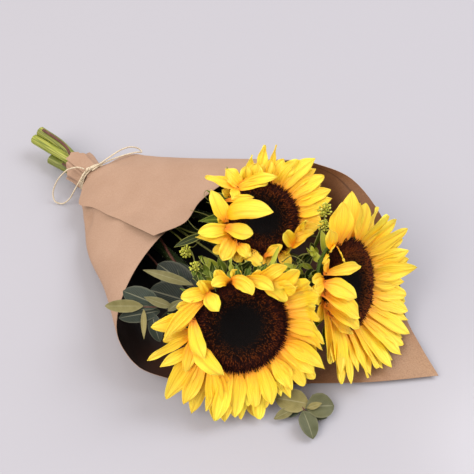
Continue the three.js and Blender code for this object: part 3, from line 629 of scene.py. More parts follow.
# kraft paper: unbleached fibre, matt outside, a little smoother inside; brown with fine lighter and darker
# fibres
kraftOutside, add = newMaterial("kraftPaperOutside")
fibre, ramp = speckle(add, 900.0, 4.0, [(0.3, "a1836c"), (0.5, "a68871"), (0.7, "ab8e78")])
_, cloudRamp = speckle(add, 28.0, 2.0, [(0.3, "f5f2ef"), (0.7, "ffffff")])
tint = add("ShaderNodeMix", {0: 1.0, 6: ramp, 7: cloudRamp}, **multiply).outputs[2]
finishMaterial(add, {"Roughness": 0.78}, tint, (fibre, 0.0002, 0.25))

# inside: the same kraft, its colour carrying painted shade deep in the cone and under the flap, and painted
# light at the open corner
kraftInside, add = newMaterial("kraftPaperInside")
_, acrossShare, alongShare, tone = readSurface(add)
fibre, ramp = speckle(add, 900.0, 4.0, [(0.3, "d8d0c8"), (0.7, "ffffff")])
depth = add("ShaderNodeValToRGB", [tone],
            [(0.0, "060404"), (0.12, "1f100a"), (0.32, "5c3520"), (0.6, "865c3c"), (1.0, "a8886a")])
tint = add("ShaderNodeMix", {0: 1.0, 6: depth, 7: ramp}, **multiply).outputs[2]
# painted shade: a dark line where the turned-in hem is creased, a little inside the far rim
crease = add("ShaderNodeMapRange", [distanceFrom(add, alongShare, 0.955), 0.0015, 0.006, 0.55, 0.0])
farRim = add("ShaderNodeMapRange", [acrossShare, 0.58, 0.64])
paintedCreaseShade = add("ShaderNodeMath", [crease, farRim], operation="MULTIPLY")
withCreaseShade = add("ShaderNodeMix", {0: paintedCreaseShade, 6: tint, 7: linear("2c170c")}, **blend).outputs[2]
finishMaterial(add, {"Roughness": 0.5}, withCreaseShade, (fibre, 0.0002, 0.2))

part = newPart()
addShell(part, paperGrid, paper["thick"], paintedInsideLight, looks=(0, 1, 0))
buildPiece("paperWrap", part, [kraftOutside, kraftInside], ["paper_wrap"])
print("paper rolled")


# sunflowers

# petal rows: root angle, length, width, lean, curl, bend, twist, layer from back to front, turn at the root,
# and the roll of a petal that isn't bent clear of its neighbours
flowers = [
    {
        "name": "near", "centre": (0, -45, 68), "facing": (0.668, -0.409, 0.622), "radius": 38,
        "bracts": 14, "seed": 1101, "floor": 1.4, "roll": 0,
        "lean": [14, 22, 38, 58, 58, 46, 38, 30, 16, 10, 12, 12],
        "curl": [-12, -10, -60, -150, -150, -80, -45, -40, -25, -15, -12, -12],
        "petals": [
            (5, 41.4, 11.7, 14, -11, -18, -10, 1), (12, 46, 14.8, 16, -10, -8, -6, 2),
            (18, 44, 13.8, 20, -10, -4, 8, 0), (25, 49.6, 15.9, 24, -10, -2, 5, 2),
            (30, 43, 13.8, 26, -10, 0, -6, 0), (34, 42.9, 11.9, 4, -12, -14, -6, 2, -48),
            (35, 40, 12.7, 27, -9, 1, -8, 1), (42, 27.9, 13.8, 57, 20, -6, 10, 1),
            (47, 33.5, 13.8, 31, -8, 9, 10, 2), (49, 33.8, 10.1, 7, -16, -10, 6, 2, -50),
            (52, 25.2, 11, 9, -10, 0, 0, 1, -21), (63, 31.2, 11.9, 16, -30, -20, -6, 3, -46),
            (63, 24.3, 11, 12, -20, -30, 0, 4, -86), (69, 30.5, 12.8, 19, -20, -16, 10, 3.5, -23),
            (75, 12.4, 7.3, 31, -10, 0, 0, 2, -13), (85, 26.2, 11, 20, -34, -60, 0, 4, -74),
            (90, 12.9, 9.2, 27, -10, 0, 0, 1, 42), (100, 22.6, 12.8, 30, -40, -95, 0, 4, -86),
            (106, 18.2, 9.2, 31, -30, 90, 10, 4, 30), (112, 15.2, 11, 24, -20, 10, 0, 2, -2),
            (122, 16, 9.2, 14, -10, 10, 0, 1, 38), (130, 24.3, 11.9, 11, -30, 10, 12, 3, 51),
            (132, 17, 13.8, 30, -30, 20, 0, 4.5, 158), (133, 16.4, 6.4, 22, -20, 0, 20, 3.5, -12),
            (141, 44.6, 12.8, 6, -30, 30, -16, 4, 68), (151, 17.3, 11, 4, -10, 4, 0, 0, 32),
            (166, 35, 14.7, 5, -20, -8, 10, 2, 27), (170, 31.8, 12.8, 15, -30, 30, 10, 4.5, 101),
            (184, 24.4, 11.9, -6, -10, 0, 0, 0, 15), (188, 41.7, 8.4, 4, -25, 16, -25, 2.5, 10),
            (192, 27.7, 11, 6, -30, 10, 0, 3.5, 59), (198, 35.1, 15.6, 13, -50, 26, 0, 4.5, 101),
            (201, 33.5, 9.4, 2, -25, 10, 20, 2, 3), (208, 30.9, 11.9, -9, -10, 0, 0, 0, 19),
            (210, 48.2, 18.3, -2, -20, 12, -8, 2, 20), (220, 42.3, 13.8, -2, -25, 8, 8, 3, 23),
            (230, 48.7, 13.8, -6, -16, 6, 0, 0, 20), (231, 49.5, 13.8, 1, -30, -6, -8, 3, 45),
            (238, 48.8, 11.9, 2, -26, -6, 8, 2.5, 44), (243, 45.3, 11, -1, -20, -10, -10, 3, 49),
            (248, 36.7, 12.7, 13, -21, -6, 0, 1), (255, 41.7, 13.8, 12, -19, -4, 6, 2),
            (256, 37.4, 15.6, -4, -16, -6, 6, 1, 40), (258, 38, 12.7, 10, -16, -6, 8, 0),
            (262, 40.7, 11.7, 10, -16, -6, -10, 1), (266, 38.2, 11, -4, -10, 0, 0, 0, 9),
            (268, 37.6, 13.8, 9, -15, -9, 12, 2), (272, 41, 12.7, 8, -14, -9, -6, 0),
            (274, 49.9, 12.8, -7, -10, -4, 0, 0, 13), (276, 29.6, 11.7, 10, -14, -7, 0, 1),
            (282, 31, 13.8, 10, -13, -12, 6, 2), (286, 43.6, 13.8, 10, -12, -22, -8, 0),
            (290, 36, 12.7, 9, -12, -14, 6, 0), (295, 33.5, 13.8, 11, -12, -20, 0, 2),
            (303, 31.7, 12.7, 11, -12, -20, 10, 1), (308, 38, 12.7, 11, -12, -20, -8, 0),
            (312, 31.6, 14.8, 12, -12, -23, -6, 2), (321, 37.2, 12.7, 13, -12, -26, 6, 1),
            (326, 40, 13.8, 14, -12, -14, 8, 0), (331, 36.3, 15.9, 15, -12, -24, -12, 2),
            (337, 43, 14.8, 13, -12, -18, -8, 2), (346, 46, 12.7, 2, -12, -21, 0, 1),
            (352, 45, 14.8, 14, -12, -14, 6, 0), (358, 46, 14.8, 15, -12, -15, 8, 2),
        ],
        "stem": [(-238, -6.2, 15.6), (-272, -5.6, 14.9), (-300, -8, 13), (-321, -11.4, 12.8)],
    },
    {
        "name": "far", "centre": (-59, 42, 84), "facing": (0.467, -0.125, 0.875), "radius": 32.5,
        "bracts": 13, "seed": 2203, "floor": 1.4, "roll": 8,
        "lean": [18, 24, 27, 38, 52, 28, 30, 26, 46, 48, 46, 38],
        "curl": [-10, -12, -12, -5, 20, -10, -20, -15, 30, 40, 40, 20],
        "petals": [
            (0, 20.7, 13.5, 21, -7, 4, 6, 1), (11, 23.4, 12.5, 20, -10, 6, 0, 2),
            (14, 26.6, 18.3, 4, -10, 0, 0, 1, 8), (18, 33.7, 12.5, 22, -11, -2, -6, 1),
            (26, 35.1, 13.5, 23, -12, -9, 8, 2), (34, 30, 12.5, 24, -12, -12, 0, 1),
            (40, 36.1, 14.6, 25, -12, -19, -8, 2), (49, 35.2, 12.5, 27, -12, -21, 8, 1),
            (57, 41.2, 14.6, 31, -9, -28, -10, 2), (64, 26.4, 15.3, 15, -10, 0, 0, 1, -4),
            (66, 31.4, 12.5, 36, -7, -24, 10, 1), (71, 34.3, 12.2, 7, -10, -10, 10, 2, -21),
            (76, 25.9, 15.3, 18, -10, -6, 0, 1, -9), (83, 34.7, 8.2, 21, 0, 0, 56, 2, -4),
            (90, 21.5, 14.3, 27, -10, 0, 0, 1, -18), (97, 33.3, 10.2, 22, 0, 0, 24, 2, -14),
            (107, 19.2, 16.3, 34, -10, 0, 0, 1, -29), (112, 25.4, 10.2, 24, 0, -10, 50, 2, -20),
            (117, 17.4, 12.2, 35, -10, 0, 20, 1, -21), (126, 33.1, 10.2, 16, -24, -26, 0, 4.5, -100),
            (127, 21.3, 15.3, 19, -20, 0, 0, 3.5, 13), (134, 28.2, 8.2, 15, -20, -14, 0, 4, -116),
            (135, 31.2, 9.2, 9, -30, 10, 10, 4, 26), (135, 14.3, 9.2, 20, -10, 0, 0, 5, 110),
            (145, 10.4, 9.2, 22, -10, 0, 0, 1, 17), (158, 22.3, 7.1, 21, -10, 0, 0, 5.5, -153),
            (175, 7.2, 12.2, 33, -10, 0, 0, 1, -55), (176, 53, 18.7, 141, 95, -8, 0, 2),
            (189, 30, 15.1, 14, -16, -8, 0, 4, -64), (190, 9.1, 12.2, 22, -10, 0, 0, 2, -60),
            (202, 28.2, 13.3, 9, -20, 6, 8, 2.5, -12), (202, 22.4, 14.2, 24, -16, 10, 0, 5.4, 136),
            (214, 35.3, 14.2, 3, -20, 10, -8, 2, -24), (218, 22.7, 15.9, 4, -30, 10, 0, 3, 22, 0),
            (227, 21.5, 12.2, -11, -10, 0, 0, 1, -28, 0), (231, 14.3, 12.4, 9, -30, 20, 0, 4, 69, 0),
            (237, 13, 11.5, -1, -20, 0, 0, 1, 11, 0), (246, 17.4, 12.4, 6, -20, 10, 0, 3, 65, 0),
            (253, 9.9, 10.2, 5, -10, 0, 0, 1, -10, 0), (260, 10.5, 12.2, 8, -10, 0, 0, 0, 45, 0),
            (270, 12.2, 13.2, 2, -10, 0, 0, 2, -49, 0), (275, 16.1, 9.2, 28, -20, 0, 10, 4.5, 118, 0),
            (285, 10.6, 11.2, 5, -10, 0, 0, 1, -35, 0), (296, 14.8, 12.2, 1, -10, 0, 0, 2, 24, 0),
            (308, 19.3, 14.3, 2, -10, 0, 0, 1, 21), (314, 16.7, 14.3, -1, -10, 0, 0, 1, 0),
            (318, 15.2, 14.3, 39, 10, 0, 0, 6, -170), (322, 21.8, 13.3, 15, -16, 8, 0, 2.5, 7),
            (327, 22.3, 11.5, 21, -20, 0, 0, 3.5, 49), (329, 19.8, 7.1, 16, -10, -10, 20, 4, 95),
            (336, 23, 13.3, 25, -10, 0, -8, 1, 4), (343, 32.3, 6.2, 94, 10, -1, 0, 2),
            (345, 21.8, 15.1, 22, -10, 0, 0, 2, 16), (349, 21.4, 16.3, 10, -10, 0, 0, 1, 17),
            (350, 22.8, 12.5, 25, 3, 3, 0, 0), (352, 30, 13.5, 28, 0, 0, -10, 0),
            (353, 24.6, 18.3, 4, -8, 0, 0, 1, 35),
        ],
        "stem": [(-238, 2.6, 22.5), (-272, 1.8, 22.3), (-300, -2.3, 21.6), (-325, -4.9, 20), (-353, -8, 19)],
    },
    {
        "name": "right", "centre": (33, 53, 64), "facing": (0.834, 0.249, 0.4925), "radius": 37.5,
        "bracts": 14, "seed": 3307, "floor": 9, "roll": 38,
        "lean": [42, 42, 36, 22, 34, 50, 56, 40, 28, 25, 34, 38],
        "curl": [-10, -10, -10, -5, 10, 50, 70, 10, -5, -10, -10, -10],
        "petals": [
            (0, 31.2, 14.9, 42, -10, -1, 0, 2), (10, 45.1, 16.1, 43, -10, 0, 5, 1),
            (16, 40, 14.9, 41, -10, 3, 6, 0), (23, 38.6, 16.1, 40, -10, 6, -8, 2),
            (33, 37.8, 12.6, 38, -10, 6, 0, 1), (40, 44.2, 16.1, 39, -10, 2, 6, 2),
            (50, 40.4, 12.6, 36, -10, 4, -6, 1), (56, 42.5, 9.9, 4, -6, 0, 10, 2, -1),
            (59, 35.7, 13.8, 34, -10, 3, 8, 2), (124, 18.8, 10.8, 18, -10, 0, 0, 1, 49),
            (142, 13, 10.8, 17, -10, 0, 0, 1, 58), (147, 24, 10.3, 15, -10, 0, 0, 2, 13),
            (162, 25.2, 11.2, 15, -10, 0, 0, 4.5, -22), (164, 36, 10.8, 20, -30, -14, 0, 4.5, -149),
            (173, 24.3, 10.3, 10, -10, 0, 0, 2, 2), (175, 21.8, 12.9, 7, -20, 0, 0, 3, 20),
            (178, 30.8, 16.8, 30, -40, -10, 0, 4, 160), (183, 22.4, 11.2, 8, -10, 0, 0, 2, 2),
            (189, 13.4, 13.8, -1, -10, 0, 0, 1, 14), (190, 37.9, 16.8, 23, -40, -6, 0, 4, 137),
            (202, 15.9, 13.8, -8, -10, 0, 0, 1, 57), (205, 37.8, 14.8, 19, -30, 0, 0, 4, 121),
            (205, 49.7, 13.8, 0, -10, -6, 10, 2, 77), (217, 29.5, 12.9, 16, -20, 0, 0, 3.5, 103),
            (226, 55.4, 19.8, 5, -20, -10, 6, 3, 56), (241, 23.6, 12.9, -2, -10, 0, 0, 0, 39),
            (244, 33, 13.8, 14, -6, -7, 8, 1), (249, 43, 14.9, 20, -8, -4, -6, 0),
            (254, 45.8, 16.1, 12, -8, -8, 0, 2), (261, 47, 14.9, 18, -8, -6, 6, 1),
            (268, 38.4, 12.6, 24, -10, -1, 10, 0), (275, 45.1, 12.6, 24, -10, -3, -10, 1),
            (280, 45, 14.9, 24, -10, -4, 8, 0), (285, 41.1, 10.3, 27, -10, -3, 0, 2),
            (290, 46, 13.8, 28, -10, -3, -6, 0), (294, 49.3, 14.9, 32, -10, -3, 6, 1),
            (299, 47, 14.9, 32, -10, -3, 6, 0), (305, 47.7, 14.9, 35, -10, -3, 0, 2),
            (313, 46.1, 14.9, 36, -10, -5, -8, 1), (318, 44, 14.9, 35, -10, -5, 6, 0),
            (323, 45.7, 14.9, 37, -10, -6, 8, 2), (332, 41.9, 13.8, 38, -10, -4, 0, 1),
            (339, 38.4, 16.1, 38, -10, -7, -6, 2), (345, 37, 14.9, 38, -10, -5, 6, 0),
            (350, 35.4, 16.1, 41, -10, -3, 6, 1),
            (121, 37.5, 19.8, 17, -14, 6, 0, 3, -23, -45), (102, 41.2, 16.3, 10, -10, 4, 0, 3.5, -14, -45),
            (71, 33.7, 14.6, 13, -8, 0, 0, 2.5, 12, -35), (130, 22.9, 12, 21, -10, 0, 0, 2, 0, -40),
            (124, 16.2, 2.9, 23, -30, 30, 0, 4, 143, -30),
            (80, 32.1, 14.6, 12, -8, 0, 0, 1, 2, -25),
        ],
        "stem": [(-238, 4.4, 11.6), (-272, 4, 12.4), (-300, 5.6, 16), (-325, 4.8, 21.4), (-353, 0.4, 25)],
    },
]
petal = {
    "thick": 0.5,
    "columns": 13,
    "clear": 0.6,
    "marks": [0, 0.08, 0.2, 0.35, 0.5, 0.65, 0.78, 0.88, 0.95, 1.0],
    "halfWidths": [0.42, 0.55, 0.78, 0.97, 1.0, 0.93, 0.75, 0.5, 0.26, 0.03],
    "ridge": 0.22,
    "layer": 1.5,          # height of one layer over the next, at the root
    "tuck": 3.0,           # how far a root reaches in under the disc
}
bract = {
    "thick": 0.6,
    "columns": 9,
    "clear": 1.0,
    "width": 11.0,
    "length": 26,
    "marks": [0, 0.2, 0.4, 0.6, 0.8, 0.92, 1.0],
    "halfWidths": [1.0, 1.0, 0.86, 0.58, 0.26, 0.1, 0.02],
}
disc = {
    "florets": 3200,       # on a disc of the radius below
    "fullRadius": 38,
    "floretWidth": 0.00062,
    "floretHeight": 0.0018,
    "warmth": {"near": 0.0, "far": 0.05, "right": 0.3},
    "sides": 5,
    "rings": 26,
    "segments": 84,
    "depth": 4.6,
    # the dome: its hollow middle, then the rise to its crest and the drop to its rim, with the two shares of
    # the radius that each lies between
    "hollow": -2.6,
    "rise": (7.2, 0.1, 0.74),
    "drop": (4.4, 0.8, 1.0),
    # two shares of the radius, and the florets' lean outwards or their height at each
    "lean": (0.45, 1.0, -0.15, 1.25),
    "ringHeight": (0.42, 0.72, 0.4, 1.25),
    "rimHeight": (0.86, 0.98, 1.0, 1.75),
    "stray": 0.28,         # how far a floret strays from its lean
}
stem = {
    "radius": 4.7, "sides": 24, "steps": 150, "ridges": 9, "ridgeDepth": 0.05, "cupSides": 60,
    "ridgeTurn": 0.002,    # radians of twist a millimetre
    # tone: how far painted shade darkens each stem, most on the near stem, which lies lowest
    "tone": {"near": 0.5, "far": 1.0, "right": 0.75},
}
gap = 0.3
toViewerRight = unit((1, 1, 0))
for flower in flowers:
    flower["centre"] = np.array(flower["centre"], float)
    flower["facing"] = unit(flower["facing"])
    flower["across"] = unit(toViewerRight - flower["facing"] * np.dot(toViewerRight, flower["facing"]))
    flower["upward"] = np.cross(flower["facing"], flower["across"])
    flower["axes"] = np.array([flower["across"], flower["upward"], flower["facing"]])

# the plane between each two flowers: room on each side, and the first one's share of the space between them
partings = []
for a, b, room, share in ((0, 1, 2.2, 0.75), (0, 2, 1.4, 0.5), (1, 2, 4.5, 0.5)):
    one, other = flowers[a], flowers[b]
    between = other["centre"] - one["centre"]
    spare = np.linalg.norm(between) - one["radius"] - other["radius"]
    middle = one["centre"] + unit(between) * (one["radius"] + spare * share)
    facing = unit(one["facing"] + other["facing"])
    partings.append((a, b, room, middle, unit(between - facing * np.dot(between, facing))))


def around(table, azimuth):
    place = (azimuth % 360) / 30
    low = int(place)
    return mix(table[low % 12], table[(low + 1) % 12], place - low)


def easedOver(distance, least, softness):
    return least + softness * np.logaddexp(0, (distance - least) / softness)


def toBunch(flower, points):
    return flower["centre"] + np.asarray(points) @ flower["axes"]


def sidesOf(index):
    for a, b, room, middle, normal in partings:
        if index in (a, b):
            yield -1 if index == a else 1, room, middle, normal


def keptClear(points, index, amount, clear):
    # bends a flower's points clear of its neighbours and of the table; clear scales the room between flowers
    moved = points.copy()
    for side, room, middle, normal in sidesOf(index):
        distance = side * ((moved - middle) @ normal)
        kept = easedOver(distance, room * clear, 3 * clear)
        moved += normal * (side * amount * (kept - distance))[..., None]
    moved[..., 2] = mix(moved[..., 2], easedOver(moved[..., 2], flowers[index]["floor"], 3), amount)
    return moved


def spareOutward(index, azimuth):
    flower = flowers[index]
    turn = math.radians(azimuth)
    outward = np.array([math.cos(turn), math.sin(turn), 0]) @ flower["axes"]
    spare = 1e9
    for side, room, middle, normal in sidesOf(index):
        approach = -side * np.dot(outward, normal)
        if approach > 0.05:
            spare = min(spare, side * np.dot(flower["centre"] - middle, normal) / approach - flower["radius"])
    return spare


def outlineAt(form, s):
    return float(np.interp(s, form["marks"], form["halfWidths"]))


def growBlade(part, index, shape, form, outline, lift, tone, looks=(0, 0, 0)):
    # one petal or bract, grown from its root in small steps; lift(q, s, half) shapes its section
    azimuth = math.radians(shape["azimuth"])
    outward = np.array([math.cos(azimuth), math.sin(azimuth), 0.0])
    aside = np.array([-math.sin(azimuth), math.cos(azimuth), 0.0])
    at = outward * shape["rootRadius"] + np.array([0, 0, shape["rootHeight"]])
    substeps = 20
    q = np.linspace(-1, 1, form["columns"])
    rows, amounts = [], []
    for i in range(substeps + 1):
        s = i / substeps
        rise = math.radians(shape["lean"] + shape["curl"] * (s - 0.5))
        turn = math.radians(shape["slew"] + shape["bend"] * s)
        level = outward * math.cos(turn) + aside * math.sin(turn)
        heading = level * math.cos(rise) + np.array([0, 0, math.sin(rise)])
        side = aside * math.cos(turn) - outward * math.sin(turn)
        twist = shape["twist"] * s + shape["roll"] * float(smooth(s, 0, 0.4))
        side = turned(side, heading, math.radians(twist))
        up = np.cross(heading, side)
        half = shape["width"] / 2 * outline(s)
        if i == 0 and "tuck" in form:
            rows.append(at - heading * form["tuck"] + side * (q * half * 0.8)[:, None])
            amounts.append(0.0)
        rows.append(at + side * (q * half)[:, None] + up * lift(q, s, half)[:, None])
        amounts.append(0.0 if shape["free"] else float(smooth(s, 0, 0.3)))
        at = at + heading * shape["length"] / substeps
    grid = toBunch(flowers[index], np.array(rows))
    grid = keptClear(grid, index, np.array(amounts)[:, None] * np.ones(len(q)), form["clear"])
    thin = form["thick"] * (1 - 0.6 * q[:, None] ** 4) * np.ones(len(rows))
    addShell(part, np.transpose(grid, (1, 0, 2)), thin, tone, looks)


def petalShape(flower, row):
    names = ("azimuth", "length", "width", "lean", "curl", "bend", "twist")
    layer, slew, roll = (*row[7:], 0, 0)[:3]
    return {**dict(zip(names, row)), "rootRadius": flower["radius"] + 1.6,
            "rootHeight": -3.4 + petal["layer"] * layer, "slew": slew, "roll": roll, "free": len(row) > 9}


# sunflower petal: a thin soft blade, satin, clear yellow with a deeper orange root and fine lengthwise veins
petalYellow, add = newMaterial("sunflowerPetal")
surface, _, alongShare, tone = readSurface(add)
moved = add("ShaderNodeVectorMath", [surface, add("ShaderNodeCombineXYZ", [tone, tone])], operation="ADD")
veins = streaks(add, moved, (26, 1.4), 3.0)
folds = streaks(add, moved, (6.5, 0.9), 1.0)
coat = add("ShaderNodeValToRGB", [alongShare],
           [(0.0, "ef8a04"), (0.1, "f8a60c"), (0.26, "ffc91a"), (0.55, "ffdb2e"), (1.0, "ffe952")])
# the folds and the veins, darker in their hollows with vein colour and painted shade, and each petal's own
# lean to lemon or to amber
for share, value, stops in (
        (0.48, folds, [(0.34, "f3bd50"), (0.46, "ffedb4"), (0.56, "ffffff")]),
        (0.5, veins, [(0.3, "e4ba6c"), (0.45, "fbeac6"), (0.56, "ffffff")]),
        (0.8, tone, [(0.0, "ffeac8"), (0.3, "fff8ea"), (0.7, "ffffff"), (1.0, "f6ffe0")])):
    tint = add("ShaderNodeValToRGB", [value], stops)
    coat = add("ShaderNodeMix", {0: share, 6: coat, 7: tint}, **multiply).outputs[2]
height = add("ShaderNodeMath", [folds, 2.5, veins], operation="MULTIPLY_ADD")
finishMaterial(add, {"Roughness": 0.5, "Subsurface Weight": 0.3, "Subsurface Scale": 1.0,
                     "Subsurface Radius": (0.0022, 0.0016, 0.0004)}, coat, (height, 0.001, 0.6))

for index, flower in enumerate(flowers):
    part = newPart()
    wander = drawsFrom(flower["seed"] * 3 + 5)
    for row in flower["petals"]:
        cup, phase, wave = 0.02 + 0.34 * wander(), 2 * math.pi * wander(), 0.6 + 1.2 * wander()
        crease, lop, ripple = 0.1 + 0.4 * wander(), 0.5 * wander() - 0.25, 1.2 + 1.4 * wander()

        def lift(q, s, half):
            channel = half * (0.5 * math.exp(-s * 6) + cup * math.sin(math.pi * min(1, s * 1.1))) * q * q
            ridges = petal["ridge"] * np.cos(3 * math.pi * (q - lop)) * max(math.sin(math.pi * s), 0) ** 0.5
            valley = -crease * hump(q, lop, 0.22) * math.sin(math.pi * min(1, s * 1.15)) ** 0.7
            waves = wave * np.sin(2 * math.pi * ripple * s + phase + 1.5 * q) * q * q * s
            return channel + ridges + valley + waves
        blunt = 0.55 + 0.75 * wander()
        outline = lambda s: outlineAt(petal, s) ** blunt * (1 + 0.08 * math.sin(9 * s + phase))
        growBlade(part, index, petalShape(flower, row), petal, outline, lift, wander())
    buildPiece(flower["name"] + "Petals", part, [petalYellow],
               ["sunflower_" + flower["name"] + "_petals"])
print("petals grown")


# seed discs: a dished dome with florets set in a seed spiral by geometry nodes

# dry floret tubes: matt, near black in the middle, dark red-brown at the edge with paler tips
floretBrown, add = newMaterial("dryFlorets")
reach, tip, fleck = (add("ShaderNodeAttribute", attribute_name=name).outputs["Fac"]
                     for name in ("reach", "tip", "fleck"))
body = add("ShaderNodeValToRGB", [reach],
           [(0.0, "060404"), (0.46, "080505"), (0.66, "170807"), (0.84, "290c0a"), (1.0, "200908")])
tips = add("ShaderNodeValToRGB", [reach],
           [(0.0, "080505"), (0.42, "160c06"), (0.6, "703a10"), (0.74, "844010"), (0.88, "5a260c"),
            (1.0, "321009")])
golden = add("ShaderNodeMapRange", [fleck, 0.42, 0.85])
lit = add("ShaderNodeMath", [tip, golden], operation="MULTIPLY")
coat = add("ShaderNodeMix", {0: lit, 6: body, 7: tips}, **blend).outputs[2]
finishMaterial(add, {"Roughness": 0.85, "Specular IOR Level": 0.15}, coat)


def floretTree():
    grove, add, given = newTree("floretSpiral", {
        "Florets": "Int", "Disc Radius": "Float", "Floret Width": "Float", "Floret Height": "Float",
        "Warmth": "Float", "Seed": "Int"})
    brownSeed, heightSeed = (add("ShaderNodeMath", [given["Seed"], step], operation="ADD") for step in (3, 7))
    index = add("GeometryNodeInputIndex")
    angle = add("ShaderNodeMath", [index, goldenAngle], operation="MULTIPLY")
    counted = add("ShaderNodeMath", [index, 0.5], operation="ADD")
    filled = add("ShaderNodeMath", [counted, given["Florets"]], operation="DIVIDE")
    share = add("ShaderNodeMath", [filled], operation="SQRT")

    circle = [add("ShaderNodeMath", [angle], operation=axis) for axis in ("COSINE", "SINE")]

    def onCircle(radius, height):
        x, y = (add("ShaderNodeMath", [axis, radius], operation="MULTIPLY") for axis in circle)
        return add("ShaderNodeCombineXYZ", [x, y, height])

    # the dome's rise and drop in metres, then what the florets do between the middle and the rim
    (rise, *riseBetween), (drop, *dropBetween), hollow = disc["rise"], disc["drop"], disc["hollow"]
    risen, dropped, lean, ringHeight, rimHeight = (
        add("ShaderNodeMapRange", [share, *values], interpolation_type="SMOOTHSTEP") for values in (
            (*riseBetween, hollow / 1000, (hollow + rise) / 1000), (*dropBetween, 0.0, drop / 1000),
            disc["lean"], disc["ringHeight"], disc["rimHeight"]))
    height = add("ShaderNodeMath", [risen, dropped], operation="SUBTRACT")
    radius = add("ShaderNodeMath", [share, given["Disc Radius"]], operation="MULTIPLY")
    points = add("GeometryNodePoints", {"Count": given["Florets"], "Position": onCircle(radius, height)})
    brown = add("FunctionNodeRandomValue", {"Seed": brownSeed}, data_type="FLOAT").outputs[1]
    warm = add("ShaderNodeMath", [brown, given["Warmth"]], operation="ADD")
    for name, value in (("reach", share), ("fleck", warm)):
        points = add("GeometryNodeStoreNamedAttribute", {"Geometry": points, "Name": name, "Value": value},
                     data_type="FLOAT", domain="POINT")
    # florets lean out more and more towards the edge
    most = disc["stray"]
    stray = add("FunctionNodeRandomValue", {
        "Min": (-most, -most, 0.0), "Max": (most, most, 0.0), "Seed": given["Seed"]}, data_type="FLOAT_VECTOR")
    heading = add("ShaderNodeVectorMath", [onCircle(lean, 1.0), stray], operation="ADD")
    turn = add("FunctionNodeAlignRotationToVector", {"Vector": heading}, axis="Z")
    # small in the middle, tall in the ring and tallest at the rim
    wide = add("ShaderNodeMapRange", [share, 0.0, 0.7, 0.75, 1.0])
    tall = add("ShaderNodeMath", [ringHeight, rimHeight], operation="MULTIPLY")
    vary = add("FunctionNodeRandomValue", {2: 0.6, 3: 1.4, "Seed": heightSeed}, data_type="FLOAT").outputs[1]
    high = add("ShaderNodeMath", [tall, vary], operation="MULTIPLY")
    size = add("ShaderNodeCombineXYZ", [wide, wide, high])
    narrow = add("ShaderNodeMath", [given["Floret Width"], 0.35], operation="MULTIPLY")
    spike = add("GeometryNodeMeshCone", {
        "Vertices": disc["sides"], "Side Segments": 3, "Fill Segments": 1, "Radius Top": narrow,
        "Radius Bottom": given["Floret Width"], "Depth": given["Floret Height"]}, fill_type="NGON")
    position = add("ShaderNodeSeparateXYZ", [add("GeometryNodeInputPosition")])
    upShare = add("ShaderNodeMath", [position.outputs["Z"], given["Floret Height"]], operation="DIVIDE")
    tipped = add("GeometryNodeStoreNamedAttribute", {"Geometry": spike, "Name": "tip", "Value": upShare},
                 data_type="FLOAT", domain="POINT")
    placed = add("GeometryNodeInstanceOnPoints", {"Points": points, "Instance": tipped, "Rotation": turn,
                                                  "Scale": size})
    finishTree(add, add("GeometryNodeJoinGeometry", {"Geometry": [given["Geometry"], placed]}), floretBrown)
    return grove


def domeMesh(radius):
    # from its middle outwards, then in under the petals' roots to a flat back
    (rise, *riseBetween), (drop, *dropBetween) = disc["rise"], disc["drop"]
    outline = [(radius * t, disc["hollow"] + rise * float(smooth(t, *riseBetween))
                - drop * float(smooth(t, *dropBetween))) for t in np.linspace(0, 1, disc["rings"])]
    outline += [(radius - 0.6, -1.2), (radius - 3, -disc["depth"]), (0, -disc["depth"])]
    segments = disc["segments"]
    points, faces, shares = [], [], []
    for r, z in outline:
        for k in range(segments if r > 0 else 1):
            a = 2 * math.pi * k / segments
            points.append((r * math.cos(a) / 1000, r * math.sin(a) / 1000, z / 1000))
            shares.append(r / radius)
    starts = [0] + [1 + i * segments for i in range(len(outline) - 2)]
    for k in range(segments):
        k1 = (k + 1) % segments
        faces.append((0, starts[1] + k, starts[1] + k1))
        for a, b in zip(starts[1:-1], starts[2:]):
            faces.append((a + k, b + k, b + k1, a + k1))
        faces.append((starts[-1] + k, len(points) - 1, starts[-1] + k1))
    mesh = bpy.data.meshes.new("dome")
    mesh.from_pydata(points, [], faces)
    mesh.attributes.new("reach", "FLOAT", "POINT").data.foreach_set("value", shares)
    for name in ("tip", "fleck"):
        mesh.attributes.new(name, "FLOAT", "POINT")
    return mesh


floretSpiral = floretTree()
for flower in flowers:
    name, radius = flower["name"], flower["radius"]
    sizes = {"Florets": int(disc["florets"] * (radius / disc["fullRadius"]) ** 2),
             "Disc Radius": radius / 1000, "Floret Width": disc["floretWidth"],
             "Floret Height": disc["floretHeight"], "Warmth": disc["warmth"][name], "Seed": flower["seed"]}
    placement = placementOf(Matrix(flower["axes"].tolist()).transposed(), flower["centre"])
    piece = grow(domeMesh(radius), floretSpiral, sizes, name + "Disc", placement)
    finishPiece(piece, ["sunflower_" + name + "_disc"])
print("discs seeded")


# cups, bracts and thick stems

# sunflower stem: fresh fibrous green skin with lengthwise ribs, paler on the ribs; painted shade darkens it
# inside the paper
stemGreen, add = newMaterial("sunflowerStem")
surface, _, _, tone = readSurface(add)
ribs = streaks(add, surface, (34, 0.03), 3.0)
paintedLitGreen = add("ShaderNodeValToRGB", [ribs], [(0.34, "4a5414"), (0.48, "828e2c"), (0.62, "b2b256")])
paintedShadeGreen = add("ShaderNodeValToRGB", [ribs], [(0.3, "141d08"), (0.5, "24330f"), (0.7, "35451a")])
coat = add("ShaderNodeMix", {0: tone, 6: paintedShadeGreen, 7: paintedLitGreen}, **blend).outputs[2]
finishMaterial(add, {"Roughness": 0.55}, coat, (ribs, 0.0006, 0.5))

# cut face of a stem: pale moist pith
cutPith, add = newMaterial("cutPith")
_, ramp = speckle(add, 900.0, 2.0, [(0.3, "8d8250"), (0.7, "b9b184")])
finishMaterial(add, {"Roughness": 0.6}, ramp)

